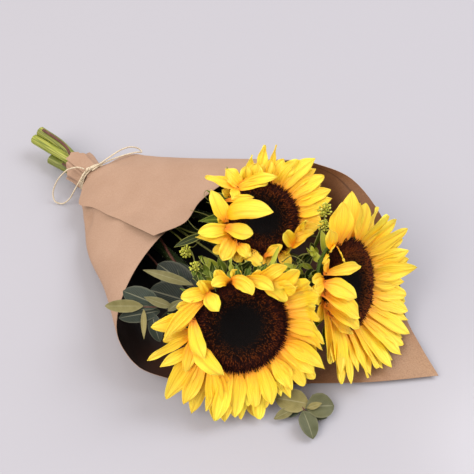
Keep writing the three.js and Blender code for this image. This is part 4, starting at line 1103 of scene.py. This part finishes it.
# bract: a rough leafy scale, mid green, paler along its middle and its edge
bractGreen, add = newMaterial("sunflowerBract")
sideways = distanceFrom(add, readSurface(add)[1], 0.5)
acrossRamp = add("ShaderNodeValToRGB", [sideways],
                 [(0.0, "98a63c"), (0.05, "5e721e"), (0.3, "3c520e"), (0.44, "465c14"), (0.5, "aab658")])
mottle, mottleRamp = speckle(add, 300.0, 3.0, [(0.3, "c4cdb4"), (0.7, "ffffff")])
coat = add("ShaderNodeMix", {0: 0.7, 6: acrossRamp, 7: mottleRamp}, **multiply).outputs[2]
finishMaterial(add, {"Roughness": 0.6, "Specular IOR Level": 0.2}, coat, (mottle, 0.0004, 0.5))

for index, flower in enumerate(flowers):
    part = newPart()
    top = -disc["depth"] - gap
    radius = flower["radius"]
    # the cup: radius and height of each ring, from the stem up to the disc's back
    cup = [(5.2, top - 23.5), (5.6, top - 22), (7.2, top - 19), (10, top - 16), (radius * 0.4, top - 13.2),
           (radius * 0.66, top - 10), (radius * 0.86, top - 6.8), (radius + 0.3, top - 3.4),
           (radius + 1.2, top - 1.2), (radius + 0.6, top), (radius * 0.5, top)]
    angles = 2 * math.pi * np.arange(stem["cupSides"]) / stem["cupSides"]
    rings = np.array([[(r * math.cos(a), r * math.sin(a), z) for a in angles] for r, z in cup])
    addRings(part, toBunch(flower, rings), np.full((*rings.shape[:2], 2), (0.1, 0.3)), 0.5, (1, 1))
    draw = drawsFrom(flower["seed"] + 7)
    jitter = lambda amount: amount * (2 * draw() - 1)
    bracts = []
    for i in range(flower["bracts"]):
        azimuth = 360 * (i + 0.5) / flower["bracts"] + jitter(3)
        bracts.append({
            "azimuth": azimuth, "rootRadius": radius - 2.5, "rootHeight": top - 4.5,
            "length": min(bract["length"] * (1 + jitter(0.1)), 2.5 + spareOutward(index, azimuth)),
            "width": bract["width"],
            "lean": max(around(flower["lean"], azimuth) - 33, -12) + jitter(2),
            "curl": around(flower["curl"], azimuth),
            "bend": jitter(10), "twist": jitter(12),
            "roll": -flower["roll"] * math.sin(math.radians(azimuth)), "slew": 0, "free": False,
        })
    for shape in bracts:
        cupping = 0.15 + 0.25 * draw()

        def lift(q, s, half):
            return half * cupping * q * q - 0.35 * hump(q, 0, 0.18) * (1 - s)
        growBlade(part, index, shape, bract, partial(outlineAt, bract), lift, 0.5, (1, 1, 1))
    behind = lambda distance: flower["centre"] - flower["facing"] * distance
    lower = np.array(flower["stem"], float)
    path = curveLine([behind(22), behind(40), mix(behind(46), lower[0], 0.35), *lower], stem["steps"])
    taper = np.linspace(stem["radius"] + 0.4, stem["radius"], len(path)) + 0.7 * smooth(-path[:, 0], 290, 330)
    # painted shade: each stem turns to the dark green inside the paper
    tone = stem["tone"][flower["name"]] * smooth(-path[:, 0], 235, 275)
    addTube(part, path, taper, stem["sides"], ply=stem["ridges"], plyDepth=stem["ridgeDepth"],
            plyTurn=stem["ridgeTurn"], tone=np.repeat(tone, stem["sides"]), looks=(0, 2))
    buildPiece(flower["name"] + "Stem", part, [stemGreen, bractGreen, cutPith],
               ["sunflower_" + flower["name"] + "_stem"])
print("stems and bracts grown")


# stiff short hairs on stems and bracts, by geometry nodes

hairs = {"number": 2600, "length": 0.0016, "width": 0.00006, "lift": 0.5}

# plant hair: fine, colourless to pale green, a little glossy
paleHair, add = newMaterial("plantHair")
_, ramp = speckle(add, 60.0, 2.0, [(0.3, "b9c48c"), (0.7, "e4e8cc")])
finishMaterial(add, {"Roughness": 0.4}, ramp)


def hairTree():
    grove, add, given = newTree("stemHairs", {
        "Density": "Float", "Length": "Float", "Width": "Float", "Seed": "Int"})
    seed = {"Seed": given["Seed"]}
    spread = add("GeometryNodeDistributePointsOnFaces",
                 {"Mesh": given["Geometry"], "Density": given["Density"], **seed})
    stray = add("FunctionNodeRandomValue", {"Min": (-1.0, -1.0, -1.0), "Max": (1.0, 1.0, 1.0), **seed},
                data_type="FLOAT_VECTOR")
    tilt = add("ShaderNodeVectorMath", {0: stray, "Scale": hairs["lift"]}, operation="SCALE")
    heading = add("ShaderNodeVectorMath", [spread.outputs["Normal"], tilt], operation="ADD")
    turn = add("FunctionNodeAlignRotationToVector", {"Vector": heading}, axis="Z")
    vary = add("FunctionNodeRandomValue", {2: 0.5, 3: 1.2, **seed}, data_type="FLOAT").outputs[1]
    size = add("ShaderNodeCombineXYZ", [1.0, 1.0, vary])
    cone = add("GeometryNodeMeshCone", {
        "Vertices": 4, "Side Segments": 1, "Fill Segments": 1, "Radius Top": 0.0,
        "Radius Bottom": given["Width"], "Depth": given["Length"]}, fill_type="NGON")
    placed = add("GeometryNodeInstanceOnPoints", {
        "Points": spread, "Instance": cone, "Rotation": turn, "Scale": size})
    finishTree(add, placed, paleHair)
    return grove


stemHairs = hairTree()
for flower in flowers:
    skin = bpy.data.objects[flower["name"] + "Stem"].data.copy()
    sizes = {"Density": hairs["number"] / sum(p.area for p in skin.polygons), "Length": hairs["length"],
             "Width": hairs["width"], "Seed": flower["seed"]}
    finishPiece(grow(skin, stemHairs, sizes, flower["name"] + "StemHairs", Matrix()))
print("hairs set")


# eucalyptus and leafy twigs

leafForm = {
    "thick": 0.45,
    "columns": 9,
    "rows": 18,
    # marks along the leaf and the half width at each
    "round": ([0, 0.05, 0.14, 0.28, 0.45, 0.62, 0.78, 0.9, 0.97, 1],
              [0.1, 0.3, 0.64, 0.92, 1.0, 0.96, 0.78, 0.5, 0.24, 0.03]),
    "curly": ([0, 0.1, 0.3, 0.5, 0.7, 0.85, 0.95, 1], [0.3, 0.7, 1.0, 0.95, 0.66, 0.36, 0.12, 0.02]),
    "lance": ([0, 0.08, 0.22, 0.42, 0.6, 0.76, 0.88, 0.96, 1],
              [0.1, 0.36, 0.78, 1.0, 0.92, 0.68, 0.38, 0.15, 0.02]),
}
# leaf rows: root, tip, width, the way the face looks, arch, outline, tone from dark to pale; the inner
# eucalyptus's low tones are painted shade
sprigs = {
    "eucalyptusNear": {
        "node": "eucalyptus_near", "slot": "eucalyptus_leaf",
        "stem": [(-298, -11, 22), (-262, -10.6, 22.8), (-238, -13, 23), (-150, -30, 31), (-95, -38, 34),
                 (-56, -46, 38)],
        "twigs": [[(-76, -42, 36), (-66, -57, 47), (-64, -70, 57), (-66, -76, 59.5), (-74.5, -86, 61)],
                  [(-64, -70, 57), (-57, -70, 61)], [(-76, -42, 36), (-66, -40, 50), (-62, -40, 60)]],
        "leaves": [
            ((-62.2, -40.1, 60), (-101.2, -62.6, 66), 9, (0.4, -0.3, 0.9), 2.5, "lance", 0.8),
            ((-65.7, -74.8, 60), (-98, -88.1, 63), 19, (0.3, -0.3, 0.9), 2, "round", 0.26),
            ((-74.7, -85.8, 62), (-96.1, -109.1, 64), 11, (0.3, -0.5, 0.8), 1.5, "round", 0.85),
            ((-63.6, -77, 57), (-83.2, -105.7, 56), 14, (0.2, -0.5, 0.8), 1, "round", 0.18),
            ((-56.1, -68.6, 62), (-78.8, -80.7, 66), 8, (0.4, -0.5, 0.7), 1, "lance", 0.75),
            ((-73, -86.4, 60), (-55.8, -102.3, 50), 5, (0.7, -0.7, 0.3), 1, "lance", 1),
            ((-66.9, -83.1, 57), (-47.4, -92.6, 44), 12, (0.45, -0.55, 0.7), 2, "round", 0.2),
            ((-57.1, -73.5, 60), (-53.8, -60.1, 66), 7, (0.3, -0.3, 0.9), 1, "lance", 0.7),
        ],
    },
    # inner eucalyptus: its leaves are painted darker as painted shade, deep in the bunch
    "eucalyptusInner": {
        "node": "eucalyptus_inner", "slot": "eucalyptus_leaf", "thick": 1.6,
        "stem": [(-345, 0, 32.4), (-325, 3.6, 29.4), (-308, 2.8, 29.6), (-290, -3, 30.6), (-262, -7.9, 26.2),
                 (-238, -9, 26.6), (-150, -12, 38), (-104, -26, 44), (-70, -34, 50)],
        "twigs": [[(-80, -31, 48.5), (-66, -42, 46), (-59.7, -46.9, 44.5), (-56, -56, 42.5)]],
        "leaves": [
            ((-61.6, -37.7, 48), (-107.3, -41.7, 50), 24, (0.4, -0.3, 0.8), 2, "round", 0.08),
            ((-59.7, -46.9, 44), (-94.2, -63.2, 44), 25, (0.4, -0.3, 0.8), 2, "round", 0.12),
            ((-56, -56.3, 42), (-60.8, -83.6, 38), 18, (0.4, -0.4, 0.8), 1, "round", 0.06),
            ((-62, -37.2, 50), (-93.8, -29.3, 54), 14, (0.3, -0.2, 0.9), 1, "lance", 0.25),
        ],
    },
    "eucalyptusFront": {
        "node": "eucalyptus_front", "slot": "eucalyptus_leaf",
        "stem": [(-292, -3.7, 5), (-262, -3.7, 5.9), (-238, -4, 6), (-150, -20, 6), (-60, -36, 5),
                 (10, -40, 6.2), (48, -35, 8), (74, -39, 8)],
        "twigs": [[(60, -37, 8), (62.8, -43.6, 8)], [(60, -37, 8), (68.6, -31.2, 8.2)]],
        "leaves": [
            ((68.6, -31.2, 8), (44.5, -47.4, 8), 20, (0.2, -0.3, 1), 2, "round", 0.98),
            ((69.6, -36.2, 9), (84.5, -17.2, 7), 22, (0.1, -0.1, 1), 2, "round", 0.59),
            ((70.8, -36.5, 11), (77.8, -26, 15), 6, (0.3, -0.3, 0.9), 0.6, "lance", 0.98),
            ((62.8, -43.6, 8), (56.2, -61, 5), 9, (0.1, -0.2, 1), 1, "lance", 0.78),
            ((69.7, -40, 9), (90.9, -50.9, 4), 16, (0.2, 0, 1), 1.5, "round", 0.53),
            ((64.5, -37.8, 6), (59, -51.5, 3), 12, (0.1, -0.2, 1), 1, "round", 0.33),
            ((70.6, -39.7, 8), (86.4, -28, 3), 10, (0.1, -0.2, 1), 1, "lance", 0.43),
        ],
    },
    "leafyTwigNear": {
        "node": "leafy_twig_near", "slot": "leaf_green",
        "tendrils": [[(-56.1, -31.8, 82), (-59.5, -32.9, 88), (-59.2, -29.5, 92), (-54.7, -28, 92),
                      (-52.1, -31.7, 91)],
                     [(-7.9, 36.5, 72), (-6.3, 41.6, 80), (0.4, 42.9, 82), (3, 37.5, 81)],
                     [(-15.9, 21.9, 78), (-11.3, 29, 84), (-0.4, 30.8, 84), (8, 29.2, 82)]],
        "stem": [(-290, 2.4, 29.6), (-262, 1.2, 28.8), (-238, 0, 29.4), (-150, 4, 37), (-80, 8, 40),
                 (-34, 5, 46), (-20, 4, 58)],
        "twigs": [[(-80, 8, 40), (-62, -6, 50), (-55, -17, 58)],
                  [(-80, 8, 40), (-56, 0, 52), (-47, 0, 58), (-36, 4, 60), (-21, 12.9, 62)],
                  [(-150, 4, 37), (-112, 4, 52), (-93, 3.6, 66)]],
        "leaves": [
            ((-22, 4, 54), (-52, -8, 66), 11, (0.3, -0.2, 0.9), 3, "lance", 0.4),
            ((-22, 5, 54), (-34, 14, 62), 11, (0.4, -0.4, 0.8), 3, "lance", 0.5),
            ((-20, 4, 55), (-8, 12, 72), 11, (0.4, -0.4, 0.8), 2, "lance", 0.6),
            ((-20, 3, 55), (6, 4, 68), 11, (0.4, -0.4, 0.8), 2, "lance", 0.4),
            ((-20, 3, 56), (-22, 0, 80), 9, (0.5, -0.8, 0.2), 1, "lance", 0.7),
            ((-56.8, -10.4, 56), (-74.9, -15.9, 66), 9, (0.5, -0.5, 0.6), 2, "lance", 0.8),
            ((-55, -17, 58), (-67.9, -26.1, 66), 8, (0.5, -0.5, 0.6), 2, "lance", 0.5),
            ((-53.2, -9, 58), (-62.4, -9.5, 70), 8, (0.5, -0.7, 0.5), 1, "lance", 0.6),
            ((-47, -2.8, 58), (-55.8, -3.8, 68), 8, (0.5, -0.7, 0.5), 1, "lance", 0.35),
            ((-47.3, 0, 58), (-43.2, 15.8, 66), 11, (0.5, -0.6, 0.6), 2, "lance", 0.15),
            ((-38.2, 0.8, 60), (-45.7, 0.9, 70), 7, (0.5, -0.7, 0.4), 1, "lance", 0.7),
            ((-33.2, 5.7, 60), (-32.2, 14.4, 70), 8, (0.5, -0.7, 0.4), 1, "lance", 0.5),
            ((-20.8, 12.9, 62), (-26.7, 24.8, 74), 7, (0.5, -0.7, 0.4), 1, "lance", 0.6),
            ((-57.6, -26.7, 56), (-70.3, -33.6, 62), 7, (0.5, -0.5, 0.6), 1, "lance", 0.45),
            ((-92.9, 3.6, 66), (-106.6, -22.3, 58), 7, (0.4, -0.2, 0.9), 2, "lance", 0.15),
            ((-45.6, -42.9, 80), (-63.1, -34.2, 86), 6.1, (0.5, -0.5, 0.6), 2, "curly", 0.5),
            ((-43, -37.4, 80), (-62.4, -26.7, 88), 6.8, (0.5, -0.6, 0.5), 3, "curly", 0.6),
            ((-41, -34.6, 82), (-53.2, -25, 88), 6.1, (0.5, -0.5, 0.6), 2, "curly", 0.35),
            ((-36.3, -29.9, 82), (-45.2, -22.2, 90), 6.1, (0.4, -0.6, 0.6), 3, "curly", 0.5),
            ((-33.6, -24.3, 82), (-39, -13, 90), 5.4, (0.5, -0.5, 0.6), 2, "curly", 0.65),
            ((-29.1, -18.3, 82), (-35.6, -8.2, 90), 6.1, (0.5, -0.6, 0.5), 2, "curly", 0.4),
            ((-32.4, -14.9, 80), (-30.9, 2.6, 90), 8.2, (0.5, -0.5, 0.7), 2, "curly", 0.2),
            ((-24.3, -13.5, 82), (-27.5, -4.5, 90), 5.4, (0.5, -0.6, 0.5), 2, "curly", 0.55),
            ((-17.4, -8.7, 84), (-19.3, 1.4, 92), 4.1, (0.5, -0.5, 0.6), 2, "curly", 0.9),
            ((-14.6, -4.4, 84), (-17.8, 11.9, 92), 3.4, (0.5, -0.6, 0.5), 2, "curly", 0.85),
            ((-15.7, 6.4, 84), (-21.3, 22.9, 94), 4, (0.5, -0.5, 0.6), 1, "lance", 1),
            ((-49.5, -43.9, 80), (-63.8, -41.7, 84), 5.4, (0.5, -0.5, 0.6), 2, "curly", 0.25),
            ((-42.3, -42.6, 80), (-54.3, -45, 82), 4.8, (0.5, -0.5, 0.6), 1, "curly", 0.4),
            ((-38, -37.5, 82), (-48.5, -37.6, 86), 4.8, (0.4, -0.5, 0.7), 2, "curly", 0.7),
            ((-32.3, -26.8, 80), (-31.1, -9.1, 84), 4.8, (0.4, -0.5, 0.7), 2, "curly", 0.3),
            ((-22.3, -10.8, 80), (-33.2, -8.1, 84), 4.8, (0.4, -0.5, 0.7), 2, "curly", 0.45),
            ((-8.8, 11.6, 80), (-1.9, 26.2, 84), 3.4, (0.4, -0.5, 0.7), 2, "curly", 0.8),
            ((-1.2, 18.4, 78), (-0.7, 32.6, 82), 3.4, (0.4, -0.5, 0.7), 2, "curly", 0.6),
            ((6.6, 25.7, 70), (-1.3, 27.3, 78), 5.4, (0.4, -0.5, 0.7), 2, "curly", 0.35),
            ((5.8, 43.6, 78), (-5.2, 46, 88), 6.1, (0.6, -0.3, 0.6), 3, "curly", 1),
            ((-53, -38, 83.9), (-59.6, -32.3, 89.4), 4.9, (0.5, -0.5, 0.6), 2, "curly", 0.32),
            ((-46.6, -28.5, 85.3), (-50, -28.1, 87.8), 4.9, (0.5, -0.5, 0.6), 2, "curly", 0.47),
            ((-35.9, -18.9, 83.7), (-41.3, -14.8, 93.3), 4.3, (0.5, -0.5, 0.6), 2, "curly", 0.84),
            ((-33.1, -5.8, 83.1), (-30, -0.4, 86), 6.6, (0.5, -0.5, 0.7), 2, "curly", 0.91),
            ((-19.4, -5.3, 89.5), (-16.3, -0.3, 95.7), 3.3, (0.5, -0.5, 0.6), 2, "curly", 0.68),
            ((-55.2, -44.1, 83.6), (-62.3, -38, 87.1), 4.3, (0.5, -0.5, 0.6), 2, "curly", 0.51),
            ((-43.3, -38.9, 82.4), (-52, -39.2, 86.8), 3.8, (0.4, -0.5, 0.7), 2, "curly", 0.3),
            ((-26.5, -10.2, 81), (-30.7, -8.3, 82.5), 3.8, (0.4, -0.5, 0.7), 2, "curly", 0.64),
            ((-0.2, 23, 81.7), (-4.5, 34.6, 84.8), 2.7, (0.4, -0.5, 0.7), 2, "curly", 0.31),
            ((2, 44.1, 82.8), (-9.1, 42.4, 85.4), 4.9, (0.6, -0.3, 0.6), 2, "curly", 0.97),
            ((5.8, 52.8, 78), (-9, 62.8, 92), 9, (0.8, -0.2, 0.4), 2, "lance", 0.9),
        ],
    },
    "leafyTwigFar": {
        "node": "leafy_twig_far", "slot": "leaf_green",
        "tendrils": [[(-103.2, 35, 60), (-110.8, 32.3, 70), (-114.4, 27.1, 78), (-119.5, 28.2, 80),
                      (-120.5, 33, 81), (-115.9, 33.6, 80)],
                     [(-97.9, 32.3, 58), (-103.2, 22.2, 66), (-109.9, 14.9, 72), (-118.3, 9.2, 74)],
                     [(-85.6, 22.8, 56), (-95.3, 12, 64), (-99.5, 1.3, 68), (-107.9, 0.6, 70),
                      (-112, 0.8, 72)],
                     [(-108.6, 40.2, 60), (-110.1, 30.4, 72), (-114.4, 25.7, 75)],
                     [(-86.1, 7.9, 54), (-93.5, 0.1, 60), (-92, -12.3, 62), (-98.5, -14.9, 60)]],
        "stem": [(-296, 10, 23), (-262, 11.1, 23.6), (-238, 13.4, 22.4), (-150, 36, 25), (-90, 46, 33),
                 (-40, 52, 46), (-14, 53, 58), (-9, 54, 70)],
        "twigs": [[(-40, 52, 46), (-12, 42, 54), (-2, 36, 58)], [(-14, 53, 58), (-6, 57, 64), (1.5, 62, 66)]],
        "leaves": [
            ((-10, 54, 68), (-12, 66, 90), 9, (1, 0.1, -0.1), 0.5, "lance", 0.6),
            ((-10, 53, 68), (-10, 51, 84), 8, (1, 0.1, -0.1), 0.5, "lance", 0.3),
            ((-12, 53, 64), (-12, 38, 74), 8, (1, 0.1, -0.1), 0.5, "lance", 0.4),
            ((-14, 53, 58), (-8, 30, 64), 9, (1, 0.1, -0.1), 0.5, "lance", 0.2),
            ((-0.1, 34.2, 60), (-18, 27.1, 70), 10, (0.6, -0.4, 0.6), 4, "lance", 0.95),
            ((-11.1, 41.5, 56), (-12.7, 57.3, 62), 10, (0.6, -0.3, 0.7), 1, "round", 0.1),
            ((3.5, 33.3, 54), (-1.8, 46.5, 60), 10, (0.6, -0.3, 0.7), 1, "round", 0.15),
            ((-17.2, 42.8, 58), (-10.3, 55.8, 64), 9, (0.6, -0.3, 0.7), 1, "lance", 0.3),
            ((1.5, 62.1, 66), (-12.6, 69.6, 82), 8, (0.9, -0.1, 0.2), 1, "lance", 0.85),
            ((-5.6, 58.2, 66), (-13.1, 56.7, 72), 6, (0.9, -0.2, 0.2), 0.5, "lance", 1),
            ((1, 42.7, 66), (-7.4, 36.1, 70), 5, (0.6, -0.3, 0.7), 0.5, "lance", 0.8),
        ],
    },
}

leafMaterials = {}
leafLooks = {
    # leathery, with a waxy bluish bloom that dulls it; thin red-brown twigs
    "eucalyptus_leaf": {"name": "waxyEucalyptus", "tones": ("0e1815", "2e3a31", "5a5e44", "8c8352"),
                        "edge": 0.15, "vein": "b2b090", "twig": ("44201a", "6a4232")},
    # thinner, greener, paler at its edge; green twigs
    "leaf_green": {"name": "softFoliage", "tones": ("141f04", "2a3c0a", "4a6210", "b8be3c"), "edge": 0.75,
                   "vein": "bcbf66", "twig": ("55561f", "7f8238")},
}
for slotName, look in leafLooks.items():
    leafSkin, add = newMaterial(look["name"])
    _, acrossShare, alongShare, tone = readSurface(add)
    base = add("ShaderNodeValToRGB", [tone], list(zip((0.0, 0.3, 0.55, 1.0), look["tones"])))
    sideways = distanceFrom(add, acrossShare, 0.5)
    # side veins leave the midrib at a slant
    slant = add("ShaderNodeMath", [sideways, -0.9, alongShare], operation="MULTIPLY_ADD")
    veinWave = add("ShaderNodeMath", [slant, 75.0], operation="MULTIPLY")
    veinSine = add("ShaderNodeMath", [veinWave], operation="SINE")
    lines = add("ShaderNodeMapRange", [veinSine, 0.8, 1.0, 0.0, 0.09])
    # the midrib, then the edge
    for low, high, start, end in ((0.012, 0.035, 0.3, 0.0), (0.4, 0.5, 0.0, look["edge"])):
        line = add("ShaderNodeMapRange", [sideways, low, high, start, end])
        lines = add("ShaderNodeMath", [lines, line], operation="MAXIMUM")
    _, bloomRamp = speckle(add, 160.0, 3.0, [(0.3, "cfd0bc"), (0.72, "ffffff")])
    clouded = add("ShaderNodeMix", {0: 0.8, 6: base, 7: bloomRamp}, **multiply).outputs[2]
    veined = add("ShaderNodeMix", {0: lines, 6: clouded, 7: linear(look["vein"])}, **blend).outputs[2]
    finishMaterial(add, {"Roughness": 0.5, "Specular IOR Level": 0.2}, veined, (lines, 0.0004, 0.4))
    twigBark, add = newMaterial(look["name"] + "Twig")
    _, twigRamp = speckle(add, 500.0, 2.0, list(zip((0.3, 0.7), look["twig"])))
    finishMaterial(add, {"Roughness": 0.6}, twigRamp)
    leafMaterials[slotName] = [leafSkin, twigBark]


def addLeaf(part, wander, root, tipPoint, width, up, sag, outline, tone):
    start, end = np.array(root, float), np.array(tipPoint, float)
    along = unit(end - start)
    side = unit(np.cross(up, along))
    face = unit(np.cross(along, side))
    q = np.linspace(-1, 1, leafForm["columns"])
    marks, halves = leafForm[outline]
    phase, wave, fold = 2 * math.pi * wander(), 0.25 + 0.4 * wander(), 0.12 + 0.14 * wander()
    ripples, twist, roll = 5, 0.0, 0.0
    if outline == "curly":
        wave, ripples, twist, roll = 0.8 + 1.2 * wander(), 10, 4 * wander() - 2, 4.4 * wander() - 2.2
    rows = []
    for i in range(leafForm["rows"] + 1):
        s = i / leafForm["rows"]
        middle = mix(start, end, s) + face * 4 * sag * s * (1 - s)
        if roll:
            # a curly bract rolls up towards its tip
            middle = start + np.linalg.norm(end - start) / roll * (along * math.sin(roll * s)
                                                                  + face * (1 - math.cos(roll * s)))
        half = width / 2 * float(np.interp(s, marks, halves))
        lift = half * fold * np.abs(q) ** 1.3 + wave * np.sin(ripples * s + phase + 2 * q) * q * q
        aside, above = turned(side, along, twist * s), turned(face, along, twist * s)
        rows.append(middle + aside * (q * half)[:, None] + above * lift[:, None])
    thin = leafForm["thick"] * (1 - 0.5 * np.abs(q)[:, None] ** 3) * np.ones(leafForm["rows"] + 1)
    addShell(part, np.transpose(np.array(rows), (1, 0, 2)), thin, tone)


def addTwigs(part, sprig, thick):
    # the stem, its side twigs and its tendrils: steps, radius at the root and at the tip, sides
    for paths, steps, root, tip, sides in (([sprig["stem"]], 90, thick, thick * 0.75, 9),
                                           (sprig["twigs"], 24, thick * 0.8, thick * 0.45, 8),
                                           (sprig.get("tendrils", []), 30, 0.5, 0.2, 6)):
        for path in paths:
            addTube(part, curveLine(path, steps), np.linspace(root, tip, steps + 1), sides, looks=(1, 1))


for name, sprig in sprigs.items():
    part = newPart()
    wander = drawsFrom(int(1000 + 37 * len(sprig["leaves"]) + abs(sprig["stem"][0][0])))
    addTwigs(part, sprig, sprig.get("thick", 1.15))
    for leafRow in sprig["leaves"]:
        addLeaf(part, wander, *leafRow)
    buildPiece(name, part, leafMaterials[sprig["slot"]], [sprig["node"]])
print("leaves made")


# seeded sprays: buds on fine stalks, set round each head by geometry nodes

spray = {
    "buds": 40,            # on a head of the height below
    "fullHeight": 13,
    "budSize": 0.0009,
    "stalkWidth": 0.00024,
    "headWidth": 0.0052,
    "reach": 0.45,         # share of a head's height that the buds fill on each side of its middle
    "sprays": {
        "seededSprayNear": {
            "node": "seeded_spray_near", "seed": 41,
            "stem": [(-292, -1.8, 30), (-262, -3.7, 28.4), (-238, -4.4, 28.2), (-150, -4, 42), (-112, -8, 50),
                     (-98, -16, 57)],
            "twigs": [[(-112, -8, 50), (-90, -16, 60), (-59.6, -37.6, 80)]],
            "heads": [((-93.4, -19.6, 60), (0.2, -0.3, 1), 13), ((-59.6, -37.6, 84), (0.3, -0.2, 1), 12)],
        },
        "seededSprayFar": {
            "node": "seeded_spray_far", "seed": 43,
            "stem": [(-290, 11.4, 16), (-262, 11.6, 15.6), (-238, 16, 16), (-150, 42, 22), (-90, 63, 36),
                     (-40, 75, 50), (-16, 77, 66), (-13.3, 73.9, 83), (-21.7, 82.8, 87)],
            "twigs": [],
            "heads": [((-21.7, 82.8, 92), (0, 0.2, 1), 15), ((-13.3, 73.9, 86), (0, 0, 1), 13)],
        },
    },
}

# unopened buds: tiny matt yellow-green beads
budGreen, add = newMaterial("seedBuds")
_, ramp = speckle(add, 420.0, 2.0, [(0.3, "8a9422"), (0.5, "bec23c"), (0.7, "e0dc70")])
finishMaterial(add, {"Roughness": 0.6}, ramp)


def budTree():
    grove, add, given = newTree("budHead", {
        "Buds": "Int", "Head Width": "Float", "Head Height": "Float", "Bud Size": "Float",
        "Stalk Width": "Float", "Seed": "Int"})
    index = add("GeometryNodeInputIndex")
    angle = add("ShaderNodeMath", [index, goldenAngle], operation="MULTIPLY")
    counted = add("ShaderNodeMath", [index, 0.5], operation="ADD")
    share = add("ShaderNodeMath", [counted, given["Buds"]], operation="DIVIDE")
    doubled = add("ShaderNodeMath", [share, 2.0], operation="MULTIPLY")
    level = add("ShaderNodeMath", [doubled, 1.0], operation="SUBTRACT")
    vary = add("FunctionNodeRandomValue", {2: 0.55, 3: 1.15, "Seed": given["Seed"]},
               data_type="FLOAT").outputs[1]
    squared = add("ShaderNodeMath", [level, level], operation="MULTIPLY")
    rest = add("ShaderNodeMath", [1.0, squared], operation="SUBTRACT")
    ring = add("ShaderNodeMath", [rest], operation="SQRT")
    varied = add("ShaderNodeMath", [ring, vary], operation="MULTIPLY")
    wide = add("ShaderNodeMath", [varied, given["Head Width"]], operation="MULTIPLY")
    high = add("ShaderNodeMath", [level, given["Head Height"]], operation="MULTIPLY")
    circle = [add("ShaderNodeMath", [angle], operation=axis) for axis in ("COSINE", "SINE")]
    x, y = (add("ShaderNodeMath", [axis, wide], operation="MULTIPLY") for axis in circle)
    tipPlace = add("ShaderNodeCombineXYZ", [x, y, high])
    lowered = add("ShaderNodeMath", [high, 0.7], operation="MULTIPLY")
    dropped = add("ShaderNodeMath", [given["Head Height"], 0.25], operation="MULTIPLY")
    rootPlace = add("ShaderNodeCombineXYZ", {
        "Z": add("ShaderNodeMath", [lowered, dropped], operation="SUBTRACT")})
    reach = add("ShaderNodeVectorMath", [tipPlace, rootPlace], operation="SUBTRACT")
    span = add("ShaderNodeVectorMath", [reach], operation="LENGTH").outputs["Value"]
    turn = add("FunctionNodeAlignRotationToVector", {"Vector": reach}, axis="Z")
    bud = add("GeometryNodeMeshIcoSphere", {"Radius": given["Bud Size"], "Subdivisions": 2})
    plump = add("ShaderNodeMath", [vary, 1.25], operation="MULTIPLY")
    stalk = add("GeometryNodeMeshCone", {
        "Vertices": 5, "Side Segments": 1, "Fill Segments": 1, "Radius Top": given["Stalk Width"],
        "Radius Bottom": given["Stalk Width"], "Depth": 1.0}, fill_type="NGON")
    placed = []
    for place, shape, size in ((tipPlace, bud, [vary, vary, plump]), (rootPlace, stalk, [1.0, 1.0, span])):
        points = add("GeometryNodePoints", {"Count": given["Buds"], "Position": place})
        scale = add("ShaderNodeCombineXYZ", size)
        placed.append(add("GeometryNodeInstanceOnPoints", {
            "Points": points, "Instance": shape, "Rotation": turn, "Scale": scale}))
    finishTree(add, add("GeometryNodeJoinGeometry", {"Geometry": placed}), budGreen)
    return grove


budHead = budTree()
for name, one in spray["sprays"].items():
    part = newPart()
    addTwigs(part, one, 1.0)
    twigBark = leafMaterials["leaf_green"][1]
    buildPiece(name, part, [twigBark, twigBark, budGreen], [one["node"]])
    for headIndex, (middle, axis, length) in enumerate(one["heads"]):
        sizes = {"Buds": int(spray["buds"] * length / spray["fullHeight"]), "Head Width": spray["headWidth"],
                 "Head Height": length * spray["reach"] / 1000, "Bud Size": spray["budSize"],
                 "Stalk Width": spray["stalkWidth"], "Seed": one["seed"] + headIndex}
        placement = placementOf(Vector(axis).to_track_quat("Z", "Y").to_matrix(), middle)
        headName = name + "Head" + str(headIndex + 1)
        finishPiece(grow(bpy.data.meshes.new("head"), budHead, sizes, headName, placement))
print("sprays made")


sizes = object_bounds()
for label, box in (("cad", cadBox), ("visual", sizes)):
    print(label, "box in mm", [[round(v * 1000, 1) for v in corner] for corner in box])
triangles = sum(len(p.vertices) - 2 for o in bpy.data.objects if o.type == "MESH" and not o.hide_render
                for p in o.data.polygons)
print("triangles shown", triangles)
